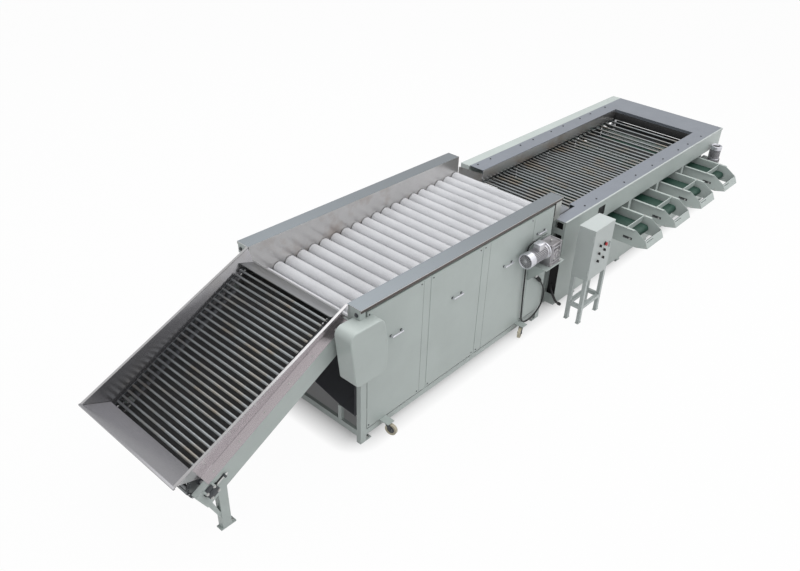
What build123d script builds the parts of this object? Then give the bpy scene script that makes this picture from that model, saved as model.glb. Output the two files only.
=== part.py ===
"""Potato washer grader: a bar elevator feeds a brush washer, then a bar grader sorts onto four belts.

Millimetres. X runs the way the potatoes travel, Y from the working side to the far side, Z up.
The origin is on the floor under the middle of the machine. Sizes below are measured from the
washer's near infeed corner, and the helpers move them to the origin.
"""
import math
import os

from build123d import *

os.makedirs("parts", exist_ok=True)

# Reach of the machine from the washer's near infeed corner
INFEED_REACH = 1672.0
GRADER_END = 7094.0
OUTFEED_REACH = 600.0
FAR_REACH = 1723.0
X0 = (INFEED_REACH - GRADER_END) / 2
Y0 = (OUTFEED_REACH - FAR_REACH) / 2

# Gaps and sheet metal
WELD_GAP = 0.2
RUNNING_FIT = 0.05
SHEET = 4.0

# Washer cabinet
WASHER_LENGTH = 2780.0
WASHER_WIDTH = 1500.0
WASHER_HEIGHT = 1426.0
TROUGH_LENGTH = 2886.0
FLANGE_WIDTH = 141.0
FLANGE_LIP = 22.0
FLANGE_OVERHANG = 10.0
POST_X = (15.0, 85.0)
POST_Y = (3.0, 53.0)
POST_TOP = 1370.0
BRACKET_FOOT = 1320.0
RAIL_BOTTOM = 72.0
RAIL_TOP = 136.0
UPPER_RAIL = 1306.0
FOOT_PLATE = 12.0
FOOT_EAR = 60.0
FOOT_HOLE = 7.0
PANEL = 3.0
PANEL_Z = (146.0, 1366.0)
PANEL_SPANS = ((88.0, 836.0), (855.0, 1565.0), (1581.0, 2398.0))
MIDDLE_POSTS = (845.0, 1573.0, 2408.0)
HATCH_SPAN = (2418.0, 2706.0)
HATCH_SPLIT = 1078.0
HANDLE_PLACES = ((421.0, 1000.0), (1227.0, 1000.0), (2008.0, 1000.0), (2550.0, 1150.0))
HANDLE_CENTRES = 128.0
HANDLE_STANDOFF = 32.0
HANDLE_BAR = 10.0

# Brush bed: it climbs towards the grader
BRUSH_COUNT = 20
BRUSH_PITCH = 139.8
BRUSH_FIRST_X = 166.0
BRUSH_FIRST_Z = 1086.0
BRUSH_RISE = 5.842
PILE_RADIUS = 68.7
PILE_CORE = 66.5
PILE_Y = (147.0, 1353.0)
STRANDS_PER_BRUSH = 15
STRAND_ROOT = 5.0
STRAND_TIP = 1.2
STRAND_SPREAD = 137.5
SHAFT_HEX = 15.0
CHAIN_WHEEL = 46.0
CHAIN_WHEEL_Y = (80.0, 92.0)
DRIVE_WHEEL = 22.0
DRIVE_WHEEL_Y = (-62.0, -50.0)
WHEEL_TEETH = 10
BEARING_Y = (102.0, 134.0)
BEARING_SIZE = 62.0
BEARING_HOLE = 17.2
CHAIN_BAND = 7.0

# Infeed elevator: lengths along its slope from the corner, and levels square to the slope
SLOPE = 28.0
BAR_RADIUS = 14.0
INFEED_PITCH = 55.0
INFEED_HALF_TURN = 7
INFEED_BARS = 27
INFEED_TAIL = -1009.0
INFEED_BAR_LEVEL = 1206.0
BEAM_LEVEL = 1140.7
BEAM_DEPTH = 173.0
BEAM_LOW = -1119.0
BEAM_Y = (110.0, 170.0)
INFEED_BAR_Y = (222.0, 1278.0)
INFEED_CHAIN_Y = (209.0, 221.8)
INFEED_WHEEL_Y = (236.0, 248.0)
INFEED_SHAFT = 15.0
RIM_LOW = (-1655.0, 690.0)
RIM_HIGH = (-3.0, 1420.0)
RIM_Y = 141.0
GUARD_FOOT_X = -1412.0
GUARD_FOOT_Y = 204.0
RIM_LIP = 18.0
THROAT = (-1452.0, 622.0)
LEG_X = (-1342.0, -1265.0)
GUARD_OUTLINE = ((-212.0, 1335.0), (166.0, 1327.0), (216.0, 1060.0), (206.0, 776.0), (-146.0, 788.0))
GUARD_CORNER = 70.0
GUARD_EDGE = 12.0
GUARD_WALL = 5.0
GUARD_Y = (-110.0, -0.5)
GUARD_BACK = 70.0

# Grader
GRADER_START = 3015.0
DECK_TOP = 1082.0
DECK_Y = (-23.0, 1597.0)
OPENING_Y = (200.0, 1400.0)
OPENING_START = 3430.0
OPENING_END = 6590.0
FASCIA_BOTTOM = 845.0
TALL_PANEL_END = 3643.0
WINDOW_X = (3711.0, 3863.0)
WINDOW_Z = (896.0, 1015.0)
GRADER_PITCH = 72.0
GRADER_HALF_TURN = 10
GRADER_FIRST_X = 3412.0
GRADER_BAR_Z = 921.0
EVEN_BARS = 17
SPREAD_BARS = 20
SPREAD_RATE = 0.238
HEAD_X = 6757.0
HEAD_BARS = 5
HEAD_LEAD = 50.0
GRADER_BAR_Y = (150.2, 1449.8)
GRADER_CHAIN_Y = (137.0, 150.0)
GRADER_WHEEL_Y = (168.0, 180.0)
GRADER_SHAFT = 20.0
GRADER_POST = 60.0
POST_NEAR_Y = (-15.8, 44.0)
POST_FAR_Y = (1495.0, 1554.8)
GRADER_POSTS = (4490.0, 5208.0, 5926.0, 6980.0)
SKIRT_Z = (45.0, 560.0)

# Outfeed belts, crosswise under the grading bars
OUTFEED_COUNT = 4
OUTFEED_FIRST = 4102.5
OUTFEED_PITCH = 718.0
OUTFEED_WIDTH = 395.0
OUTFEED_FLANGE = 30.0
OUTFEED_TOP = 820.0
OUTFEED_FLOOR = 614.0
OUTFEED_BACK = 1490.0
SPOUT_BEND = -412.0
SPOUT_NOSE = (-560.0, 730.0)
SPOUT_TOE = (-600.0, 649.0)
SPOUT_HEEL = -469.0
FLAP_Y = -308.0
FLAP_Z = 812.0
FLAP_LENGTH = 62.0
FLAP_ROD = 6.0
BELT_WIDTH = 330.0
BELT_THICK = 3.0
BELT_RADIUS = 45.0
DRUM_RADIUS = 41.6
DRUM_Z = 697.0
HEAD_DRUM_Y = -370.0
TAIL_DRUM_Y = 1420.0
DRUM_HEX = 7.5

# Control cabinet on its stand
CABINET_X = (2970.0, 3370.0)
CABINET_Y = (-379.0, -200.0)
CABINET_Z = (545.0, 1145.0)
CABINET_WALL = 4.0
DOOR_Y = (-400.0, -379.5)
STAND_X = (2960.0, 3370.0)
STAND_Y = (-400.0, -210.0)
STAND_LEG = 40.0
STAND_RAIL = (180.0, 220.0)
STOP_PLACE = (3222.0, 914.0)
STOP_RADIUS = 11.0
SELECTORS = ((3112.0, 930.0), (3112.0, 838.0), (3112.0, 745.0), (3222.0, 842.0), (3222.0, 750.0))

# Castors hang just clear of the floor: the feet carry the washer
CASTORS = ((285.0, -58.0, 282.0), (2335.0, -58.0, 200.0), (285.0, 1558.0, 70.0), (2335.0, 1558.0, 40.0))
CASTOR_TRAIL = 40.0
CASTOR_RADIUS = 58.0
CASTOR_HALF_WIDTH = 15.0
CASTOR_AXLE_Z = 61.0
CASTOR_AXLE = 6.0

# Gearmotors
MOTOR_Y = -110.0
MOTOR_Z = 1010.0
MOTOR_RADIUS = 80.0
BRACKET_X = (2410.0, 2740.0)
BRACKET_Z = (827.0, 835.0)
BRACKET_REACH = -212.0
GRADER_MOTOR_Y = -115.0
GRADER_MOTOR_TOP = 945.0

# Motor cable: down behind the motor, along the panel, and up into a thick sleeve
CABLE_DIAMETER = 17.0
CABLE_ROUTE = (
    (2411.0, -65.0, 1122.0),
    (2364.0, -48.0, 1122.0),
    (2327.0, -34.0, 1101.0),
    (2306.0, -26.0, 1062.0),
    (2307.0, -22.0, 975.0),
    (2326.0, -22.0, 795.0),
    (2337.0, -22.0, 540.0),
    (2351.0, -22.0, 325.0),
    (2360.0, -22.0, 213.0),
    (2376.0, -22.0, 158.0),
    (2412.0, -22.0, 115.0),
    (2474.0, -22.0, 94.0),
    (2551.0, -22.0, 95.0),
    (2622.0, -22.0, 110.0),
    (2684.0, -22.0, 141.0),
    (2733.0, -22.0, 186.0),
    (2762.0, -22.0, 246.0),
    (2768.0, -22.0, 314.0),
    (2746.0, -22.0, 390.0),
    (2702.0, -22.0, 464.0),
    (2644.0, -22.0, 536.0),
)
SLEEVE_RADIUS = 20.0
SLEEVE_TOP = (2535.0, -22.0, 646.0)

# Worked out from the sizes above
SIN = math.sin(math.radians(SLOPE))
COS = math.cos(math.radians(SLOPE))
INFEED_RADIUS = INFEED_HALF_TURN * INFEED_PITCH / math.pi
INFEED_AXIS_LEVEL = INFEED_BAR_LEVEL - INFEED_RADIUS
INFEED_HEAD = INFEED_TAIL + INFEED_BARS * INFEED_PITCH
GRADER_RADIUS = GRADER_HALF_TURN * GRADER_PITCH / math.pi
GRADER_AXIS_Z = GRADER_BAR_Z - GRADER_RADIUS
TROUGH_Y = (FLANGE_WIDTH, WASHER_WIDTH - FLANGE_WIDTH)


def mirrored(y, width=WASHER_WIDTH):
    """A pair of limits in Y on the near side, and the same pair on the far side."""
    return (y, (width - y[1], width - y[0]))


def block(x, y, z, mode=Mode.ADD):
    """A box between low and high limits."""
    with Locations((X0 + (x[0] + x[1]) / 2, Y0 + (y[0] + y[1]) / 2, (z[0] + z[1]) / 2)):
        Box(x[1] - x[0], y[1] - y[0], z[1] - z[0], mode=mode)


def side_plate(points, y, mode=Mode.ADD, corner=0.0):
    """A plate with its outline in X and Z, between two limits in Y."""
    with BuildSketch(Plane.XZ.offset(-Y0 - y[0])) as outline:
        with BuildLine():
            Polyline(*[(X0 + px, pz) for px, pz in points], close=True)
        make_face()
        if corner:
            fillet(outline.vertices(), corner)
    extrude(outline.sketch, amount=y[0] - y[1], mode=mode)


def cross_plate(points, x, mode=Mode.ADD):
    """A plate with its outline in Y and Z, between two limits in X."""
    with BuildSketch(Plane.YZ.offset(X0 + x[0])) as outline:
        with BuildLine():
            Polyline(*[(Y0 + py, pz) for py, pz in points], close=True)
        make_face()
    extrude(outline.sketch, amount=x[1] - x[0], mode=mode)


def guard_outline(y, inset=0.0):
    """The drive guard's rounded outline at a place in Y, drawn in by the thickness of its wall."""
    with BuildSketch(Plane.XZ.offset(-Y0 - y)) as outline:
        with BuildLine():
            Polyline(*[(X0 + px, pz) for px, pz in GUARD_OUTLINE], close=True)
        make_face()
        fillet(outline.vertices(), GUARD_CORNER)
        if inset:
            offset(amount=-inset, mode=Mode.REPLACE)
    return outline.sketch


def facing_far(x, z, y, turn=0.0):
    """A plane that looks along Y from a point, its X axis turned up from the machine's X axis."""
    tilt = math.radians(turn)
    return Plane((X0 + x, Y0 + y, z), x_dir=(math.cos(tilt), 0, math.sin(tilt)), z_dir=(0, 1, 0))


def facing_along(y, z, x):
    """A plane that looks along X from a point, with its X axis along Y."""
    return Plane((X0 + x, Y0 + y, z), x_dir=(0, 1, 0), z_dir=(1, 0, 0))


def round_bars(places, y, radius):
    """Round bars across the machine, each at a point in X and Z."""
    middle = Y0 + (y[0] + y[1]) / 2
    with Locations(*[Location((X0 + px, middle, pz), (90, 0, 0)) for px, pz in places]):
        Cylinder(radius, y[1] - y[0])


def hex_bars(places, y, radius):
    """Six-sided bars across the machine, for shafts and for runs that are out of sight."""
    with BuildSketch(facing_far(0, 0, y[0])) as ends:
        with Locations(*[(px, -pz) for px, pz in places]):
            RegularPolygon(radius, 6)
    extrude(ends.sketch, amount=y[1] - y[0])


def toothed_plate(plane, corners, thick, bore=0.0):
    """A wheel whose outline is a list of radii and angles, with a round bore."""
    with BuildSketch(plane) as outline:
        with BuildLine():
            Polyline(*[(r * math.cos(a), r * math.sin(a)) for r, a in corners], close=True)
        make_face()
        if bore:
            Circle(bore, mode=Mode.SUBTRACT)
    extrude(outline.sketch, amount=thick)


def chain_wheel(place, y, tip):
    """A small wheel with pointed teeth for a roller chain."""
    radii = (tip * 0.8, tip)
    corners = [(radii[i % 2], math.pi * i / WHEEL_TEETH) for i in range(2 * WHEEL_TEETH)]
    toothed_plate(facing_far(*place, y[0]), corners, y[1] - y[0])


def notched_wheel(plane, pitch_radius, seats, bore, thick):
    """A wheel with flat-bottomed seats, each wide enough for a bar to roll out along a tangent."""
    rim = pitch_radius - 4
    floor = pitch_radius - BAR_RADIUS - 1.5
    mouth, base = 20 / rim, 9 / floor
    corners = []
    for seat in range(seats):
        middle = 2 * math.pi * seat / seats
        corners += [(rim, middle - mouth), (floor, middle - base)]
        corners += [(floor, middle + base), (rim, middle + mouth)]
    toothed_plate(plane, corners, thick, bore)


def chain_band(start, end, y, inner):
    """A chain as a thin band round two wheels, given by their centres in X and Z."""
    length = math.hypot(end[0] - start[0], end[1] - start[1])
    rise = math.degrees(math.atan2(end[1] - start[1], end[0] - start[0]))
    middle = ((start[0] + end[0]) / 2, (start[1] + end[1]) / 2)
    with BuildSketch(facing_far(*middle, y[0], rise)) as band:
        SlotCenterToCenter(length, 2 * (inner + CHAIN_BAND))
        SlotCenterToCenter(length, 2 * inner, mode=Mode.SUBTRACT)
    extrude(band.sketch, amount=y[1] - y[0])


def on_slope(along, level):
    """The point in X and Z at a length along the infeed's slope and a level square to it."""
    return (along * COS - level * SIN, along * SIN + level * COS)


def slope_plate(along, level, y, mode=Mode.ADD):
    """A box lined up with the infeed's slope."""
    corners = ((0, 0), (1, 0), (1, 1), (0, 1))
    side_plate([on_slope(along[i], level[j]) for i, j in corners], y, mode)


def sheet_between(low, high):
    """A sheet that runs straight from one four-cornered end to the other."""
    ends = []
    for corners in (low, high):
        points = [(X0 + px, Y0 + py, pz) for px, py, pz in corners]
        ends.append(Face(Wire.make_polygon(points, close=True)))
    loft(ends, ruled=True)


def brush_axis(number):
    """Where a brush's shaft lies in X and Z, counted from the infeed."""
    return (BRUSH_FIRST_X + BRUSH_PITCH * (number - 1), BRUSH_FIRST_Z + BRUSH_RISE * (number - 1))


def bed_level(x):
    """Height of the line through the brush shafts."""
    return BRUSH_FIRST_Z + BRUSH_RISE * (x - BRUSH_FIRST_X) / BRUSH_PITCH


def beam_edge(x, level):
    """Height of an edge of the infeed beams."""
    return level / COS + x * SIN / COS


def grading_bars():
    """Places of the grading bars: even at first, then with gaps that widen faster and faster."""
    places = [GRADER_FIRST_X + GRADER_PITCH * i for i in range(EVEN_BARS + 1)]
    for step in range(SPREAD_BARS):
        places.append(places[-1] + GRADER_PITCH + SPREAD_RATE * step**2)
    return places


def save(piece, name):
    """Labels a finished piece and writes it under its own name."""
    piece.part.label = name
    export_step(piece.part, f"parts/{name}.step")


BRUSHES = [brush_axis(number) for number in range(1, BRUSH_COUNT + 1)]
OUTFEEDS = [OUTFEED_FIRST + OUTFEED_PITCH * index for index in range(OUTFEED_COUNT)]
HEAD_SHAFT = on_slope(INFEED_HEAD, INFEED_AXIS_LEVEL)
TAIL_SHAFT = on_slope(INFEED_TAIL, INFEED_AXIS_LEVEL)

# Washer frame: posts on foot plates, rails, bearing rails, motor bracket and castor plates
with BuildPart() as washer_frame:
    left_x, right_x = mirrored(POST_X, WASHER_LENGTH)
    for side_y in mirrored(POST_Y):
        block(left_x, side_y, (FOOT_PLATE + WELD_GAP, BRACKET_FOOT - WELD_GAP))
        block(right_x, side_y, (FOOT_PLATE + WELD_GAP, POST_TOP))
        block((left_x[0], left_x[1] + FOOT_EAR), side_y, (0, FOOT_PLATE))
        block((right_x[0] - FOOT_EAR, right_x[1]), side_y, (0, FOOT_PLATE))
    hole_x = (left_x[1] + FOOT_EAR / 2, right_x[0] - FOOT_EAR / 2)
    hole_y = [sum(side_y) / 2 for side_y in mirrored(POST_Y)]
    with Locations(*[(X0 + px, Y0 + py, FOOT_PLATE / 2) for px in hole_x for py in hole_y]):
        Cylinder(FOOT_HOLE, FOOT_PLATE, mode=Mode.SUBTRACT)
    for bracket_y in mirrored((0, 72.8)):
        block((0, 64), bracket_y, (BRACKET_FOOT, WASHER_HEIGHT - SHEET - 0.5))
    between_x = (left_x[1] + WELD_GAP, right_x[0] - WELD_GAP)
    between_y = (POST_Y[1] + WELD_GAP, WASHER_WIDTH - POST_Y[1] - WELD_GAP)
    for rail_y in mirrored((PANEL, 43)):
        block(between_x, rail_y, (RAIL_BOTTOM, RAIL_TOP))
        block(between_x, rail_y, (UPPER_RAIL, POST_TOP))
        for middle in MIDDLE_POSTS:
            block((middle - 25, middle + 25), rail_y, (RAIL_TOP + WELD_GAP, UPPER_RAIL - WELD_GAP))
    for end_x in mirrored((POST_X[0], 48), WASHER_LENGTH):
        block(end_x, between_y, (RAIL_BOTTOM, RAIL_TOP))
        block(end_x, between_y, (860, 910))
    block((POST_X[0], 48), (243, 283), (RAIL_TOP + WELD_GAP, 293))
    for beam_plate_y in mirrored((73.2, 136)):
        block((0, 10), beam_plate_y, (1080, POST_TOP))
    rail_top = -BEARING_SIZE / 2 - 3
    for rail_y in mirrored(BEARING_Y):
        rail_x = (12.0, TROUGH_LENGTH - 16)
        lower = [(px, bed_level(px) + rail_top - 50) for px in rail_x]
        upper = [(px, bed_level(px) + rail_top) for px in reversed(rail_x)]
        side_plate(lower + upper, rail_y)
        for prop_x in mirrored((POST_X[0], 45), WASHER_LENGTH):
            prop = [(px, 910 + WELD_GAP) for px in prop_x]
            prop += [(px, bed_level(px) + rail_top - 50 - WELD_GAP) for px in reversed(prop_x)]
            side_plate(prop, rail_y)
    block(BRACKET_X, (BRACKET_REACH, -0.5), BRACKET_Z)
    for gusset_x in ((BRACKET_X[0], BRACKET_X[0] + 8), (BRACKET_X[1] - 8, BRACKET_X[1])):
        under = BRACKET_Z[0] - WELD_GAP
        cross_plate([(-0.5, under), (-0.5, 640), (-15, 640), (-190, under)], gusset_x)
    for castor_x, castor_y, turn in CASTORS:
        reach = (-103, 43) if castor_y < 0 else (WASHER_WIDTH - 43, WASHER_WIDTH + 103)
        block((castor_x - 40, castor_x + 40), reach, (RAIL_TOP + WELD_GAP, RAIL_TOP + 8))
save(washer_frame, "washer_frame")

# Guard over the chain that drives the elevator: a hollow cover, open at its back, with a wing past the post
with BuildPart() as drive_guard:
    extrude(guard_outline(GUARD_Y[0]), amount=GUARD_Y[0] - GUARD_Y[1])
    front = Y0 + GUARD_Y[0]
    fillet(drive_guard.edges().filter_by_position(Axis.Y, front - 0.1, front + 0.1), GUARD_EDGE)
    hollow_y = (GUARD_Y[0] + GUARD_WALL, GUARD_Y[1] + 1)
    extrude(guard_outline(hollow_y[0], GUARD_WALL), amount=hollow_y[0] - hollow_y[1], mode=Mode.SUBTRACT)
    wing_y = (GUARD_Y[1] + WELD_GAP, GUARD_BACK)
    extrude(guard_outline(wing_y[0]), amount=wing_y[0] - wing_y[1])
    extrude(guard_outline(wing_y[0], GUARD_WALL), amount=wing_y[0] - wing_y[1], mode=Mode.SUBTRACT)
    block((-2, 300), (wing_y[0], GUARD_BACK + 1), (700, WASHER_HEIGHT), Mode.SUBTRACT)

# Painted panels with strap handles, and the drive guard; the drive shaft comes out through the first panel
with BuildPart() as washer_panels:
    add(drive_guard.part)
    for panel_y in mirrored((0, PANEL - WELD_GAP)):
        for span in PANEL_SPANS:
            block(span, panel_y, PANEL_Z)
        block(HATCH_SPAN, panel_y, (HATCH_SPLIT + 5, PANEL_Z[1]))
        block(HATCH_SPAN, panel_y, (PANEL_Z[0], HATCH_SPLIT - 5))
    with BuildSketch(facing_far(*BRUSHES[0], -1)) as shaft_hole:
        RegularPolygon(28, 8)
    extrude(shaft_hole.sketch, amount=6, mode=Mode.SUBTRACT)
    half, depth = HANDLE_CENTRES / 2, HANDLE_STANDOFF
    strap = [(-half - 5, 0), (-half - 5, depth), (half + 5, depth), (half + 5, 0)]
    strap += [(half - 5, 0), (half - 5, depth - 8), (5 - half, depth - 8), (5 - half, 0)]
    for handle_x, handle_z in HANDLE_PLACES:
        for wall, out in ((-WELD_GAP, -1), (WASHER_WIDTH + WELD_GAP, 1)):
            with BuildSketch(Plane.XY.offset(handle_z - HANDLE_BAR / 2)) as strap_form:
                with BuildLine():
                    Polyline(*[(X0 + handle_x + px, Y0 + wall + out * py) for px, py in strap], close=True)
                make_face()
            extrude(strap_form.sketch, amount=HANDLE_BAR)
save(washer_panels, "washer_panels")

# Stainless trough: flanged sides, end cheeks, the lead-in plate and the chute to the grader
with BuildPart() as washer_trough:
    under = WASHER_HEIGHT - SHEET
    for flange_y in mirrored((-FLANGE_OVERHANG, TROUGH_Y[0])):
        block((0, TROUGH_LENGTH), flange_y, (under, WASHER_HEIGHT))
    for lip_y in mirrored((-FLANGE_OVERHANG, SHEET - FLANGE_OVERHANG)):
        block((0, TROUGH_LENGTH), lip_y, (under - FLANGE_LIP, under - WELD_GAP))
    for wall_y in mirrored((TROUGH_Y[0] - SHEET, TROUGH_Y[0])):
        wall = [(10.5, under - WELD_GAP), (TROUGH_LENGTH, under - WELD_GAP)]
        wall += [(px, bed_level(px) + SHAFT_HEX + 7) for px in (TROUGH_LENGTH, 10.5)]
        side_plate(wall, wall_y)
    for cheek_y in mirrored((0, SHEET)):
        block((WASHER_LENGTH + WELD_GAP, TROUGH_LENGTH), cheek_y, (1184, under - WELD_GAP))
    for close_y in mirrored((SHEET + WELD_GAP, TROUGH_Y[0] - SHEET - WELD_GAP)):
        block((TROUGH_LENGTH - SHEET, TROUGH_LENGTH), close_y, (1184, under - WELD_GAP))
    lead_in = [(1.0, 1295.5), (45.0, 1270.0), (105.0, 1165.0)]
    lead_in += [(108.0, 1167.0), (47.0, 1273.5), (2.5, 1298.5)]
    side_plate(lead_in, (TROUGH_Y[0] + 1, TROUGH_Y[1] - 1))
    chute = [(2900, 1196), (3365, 962), (3365, 966), (2900, 1200)]
    side_plate(chute, (TROUGH_Y[0] + 1, TROUGH_Y[1] - 1))
    for cheek_y in mirrored((TROUGH_Y[0] - SHEET, TROUGH_Y[0])):
        side_plate([(2900, 1193), (3365, 959), (3365, 1070), (2900, 1304)], cheek_y)
save(washer_trough, "washer_trough")

# Dark inner sheets: the drain tray with its gutter, the elevator's dirt slide, the grader's end sheet
with BuildPart() as inner_sheets:
    tray_x = (POST_X[0] + 5, WASHER_LENGTH - POST_X[0] - 5)
    block(tray_x, (POST_Y[1] + 0.5, 75.8), (604, 608))
    block(tray_x, (76, 80), (280, 608))
    cross_plate([(80.2, 280), (263, 295), (263, 299), (80.2, 284)], tray_x)
    cross_plate([(263.2, 295), (1415, 582), (1415, 586), (263.2, 299)], tray_x)
    slope_plate((-870, 340), (1103.7, 1106.7), (BEAM_Y[1] + 1, WASHER_WIDTH - BEAM_Y[1] - 1))
    block((3074, 3078), (-15, 1492), (97, 880))
    block((3074, 3078), (-15, 110), (880.2, 1075))
save(inner_sheets, "inner_sheets")

# Bearings of the brush shafts, a row on each bearing rail
with BuildPart() as brush_bearings:
    rise = math.degrees(math.atan2(BRUSH_RISE, BRUSH_PITCH))
    step = math.hypot(BRUSH_RISE, BRUSH_PITCH)
    spots = [(step * i, 0) for i in range(BRUSH_COUNT)]
    for row_y in mirrored(BEARING_Y):
        with BuildSketch(facing_far(*BRUSHES[0], row_y[0], rise)) as housings:
            with Locations(*spots):
                Rectangle(BEARING_SIZE, BEARING_SIZE)
            with Locations(*spots):
                RegularPolygon(BEARING_HOLE, 8, mode=Mode.SUBTRACT)
        extrude(housings.sketch, amount=row_y[1] - row_y[0])
save(brush_bearings, "brush_bearings")

# One strand of the brush pile, standing on the origin
with BuildPart() as strand:
    with BuildSketch(Plane.XY):
        RegularPolygon(STRAND_ROOT, 3)
    with BuildSketch(Plane.XY.offset(PILE_RADIUS - PILE_CORE + 3)):
        RegularPolygon(STRAND_TIP, 3)
    loft(ruled=True)

# Brushes: a dense pile with strands standing out of it, on a six-sided shaft with a chain wheel
for number, axis in enumerate(BRUSHES, 1):
    driven = number == 1
    shaft_y = (DRIVE_WHEEL_Y[0] - 8 if driven else CHAIN_WHEEL_Y[0] - 4, WASHER_WIDTH - BEARING_Y[0] + 6)
    with BuildPart() as brush:
        round_bars([axis], PILE_Y, PILE_CORE)
        hex_bars([axis], shaft_y, SHAFT_HEX)
        chain_wheel(axis, CHAIN_WHEEL_Y, CHAIN_WHEEL)
        if driven:
            chain_wheel(axis, DRIVE_WHEEL_Y, DRIVE_WHEEL)
        spots = []
        for i in range(STRANDS_PER_BRUSH):
            turn = math.radians(STRAND_SPREAD * i + 40 * number)
            along = PILE_Y[0] + (PILE_Y[1] - PILE_Y[0]) * (i + 0.5) / STRANDS_PER_BRUSH
            out = (math.cos(turn), 0, math.sin(turn))
            root = PILE_CORE - 3
            foot = (X0 + axis[0] + root * out[0], Y0 + along, axis[1] + root * out[2])
            spots.append(Plane(foot, x_dir=(0, 1, 0), z_dir=out).location)
        with Locations(*spots):
            add(strand.part)
    save(brush, f"brush_{number:02d}")

# Infeed frame: two beams with shaft windows and bearings, legs with braces, and cross tubes
with BuildPart() as infeed_frame:
    low_edge = BEAM_LEVEL - BEAM_DEPTH
    beam = [on_slope(BEAM_LOW, BEAM_LEVEL), on_slope(BEAM_LOW, low_edge)]
    beam += [(-2, beam_edge(-2, low_edge)), (-2, beam_edge(-2, BEAM_LEVEL))]
    axis_band = (INFEED_AXIS_LEVEL - 20, INFEED_AXIS_LEVEL + 20)
    for beam_y in mirrored(BEAM_Y):
        side_plate(beam, beam_y)
        slope_plate((INFEED_TAIL - 60, INFEED_TAIL + 60), axis_band, beam_y, Mode.SUBTRACT)
        slope_plate((INFEED_HEAD - 25, INFEED_HEAD + 25), axis_band, beam_y, Mode.SUBTRACT)
        block((LEG_X[0] - 20, LEG_X[1] + 40), beam_y, (0, FOOT_PLATE))
        leg = [(px, FOOT_PLATE + WELD_GAP) for px in LEG_X]
        leg += [(px, beam_edge(px, low_edge) - WELD_GAP) for px in reversed(LEG_X)]
        side_plate(leg, beam_y)
        leg_face = LEG_X[0] - WELD_GAP
        brace = [(leg_face, 120), (leg_face, 190)]
        brace += [(px, beam_edge(px, low_edge) - WELD_GAP) for px in (-1400, -1436)]
        side_plate(brace, (beam_y[0] + 5, beam_y[1] - 5))
    for along in (-600, 0):
        tube_y = (BEAM_Y[1] + WELD_GAP, WASHER_WIDTH - BEAM_Y[1] - WELD_GAP)
        slope_plate((along - 20, along + 20), axis_band, tube_y)
    for place in (TAIL_SHAFT, HEAD_SHAFT):
        for bearing_y in mirrored((BEAM_Y[0] - 32, BEAM_Y[0] - WELD_GAP)):
            with BuildSketch(facing_far(*place, bearing_y[0], SLOPE)) as bearing:
                Rectangle(96, 96)
                Circle(INFEED_SHAFT + RUNNING_FIT, mode=Mode.SUBTRACT)
            extrude(bearing.sketch, amount=bearing_y[1] - bearing_y[0])
save(infeed_frame, "infeed_frame")

# Stainless hopper over the elevator: flanges on the beams, flared guards, end plate and rim lips
with BuildPart() as infeed_hopper:
    for flange_y in mirrored((BEAM_Y[0], GUARD_FOOT_Y - 2)):
        slope_plate((-990, 590), (BEAM_LEVEL + WELD_GAP, BEAM_LEVEL + 3), flange_y)
    for wall, out in ((0, 1), (WASHER_WIDTH, -1)):
        guard = []
        lip = []
        for foot_x, rim in ((GUARD_FOOT_X, RIM_LOW), (RIM_HIGH[0], RIM_HIGH)):
            foot_y, rim_y = wall + out * GUARD_FOOT_Y, wall + out * RIM_Y
            foot_z = beam_edge(foot_x, BEAM_LEVEL)
            inner = 3 * out
            guard.append([(foot_x, foot_y, foot_z), (foot_x, foot_y + inner, foot_z),
                          (rim[0], rim_y + inner, rim[1]), (rim[0], rim_y, rim[1])])
            edge, back = rim_y - out * RIM_LIP, rim_y + 2 * inner
            section = ((edge, 0.4), (back, 0.4), (back, 5), (edge, 5))
            lip.append([(rim[0], py, rim[1] + pz) for py, pz in section])
        sheet_between(*guard)
        sheet_between(*lip)
    end_plate = []
    for foot_y, rim_y in ((190, 148), (WASHER_WIDTH - 190, WASHER_WIDTH - 148)):
        end_plate.append([(THROAT[0], foot_y, THROAT[1]), (THROAT[0], foot_y, THROAT[1] - 4),
                          (RIM_LOW[0], rim_y, RIM_LOW[1] - 4), (RIM_LOW[0], rim_y, RIM_LOW[1])])
    sheet_between(*end_plate)
    lip_reach = RIM_Y - RIM_LIP
    block((-INFEED_REACH, RIM_LOW[0] - WELD_GAP), (lip_reach, WASHER_WIDTH - lip_reach),
          (RIM_LOW[1] - 10, RIM_LOW[1] + 5))
save(infeed_hopper, "infeed_hopper")

# Elevator chain: the carrying run, and the run that comes back below it
for name, level, first, form in (
    ("infeed_top_bars", INFEED_BAR_LEVEL, INFEED_TAIL, round_bars),
    ("infeed_return_bars", INFEED_BAR_LEVEL - 2 * INFEED_RADIUS, INFEED_TAIL + INFEED_PITCH, hex_bars),
):
    lengths = [first + INFEED_PITCH * i for i in range(INFEED_BARS)]
    with BuildPart() as run:
        form([on_slope(along, level) for along in lengths], INFEED_BAR_Y, BAR_RADIUS)
        for strip_y in mirrored(INFEED_CHAIN_Y):
            slope_plate((lengths[0] - 12, lengths[-1] + 12), (level - 8, level + 8), strip_y)
    save(run, name)

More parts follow.
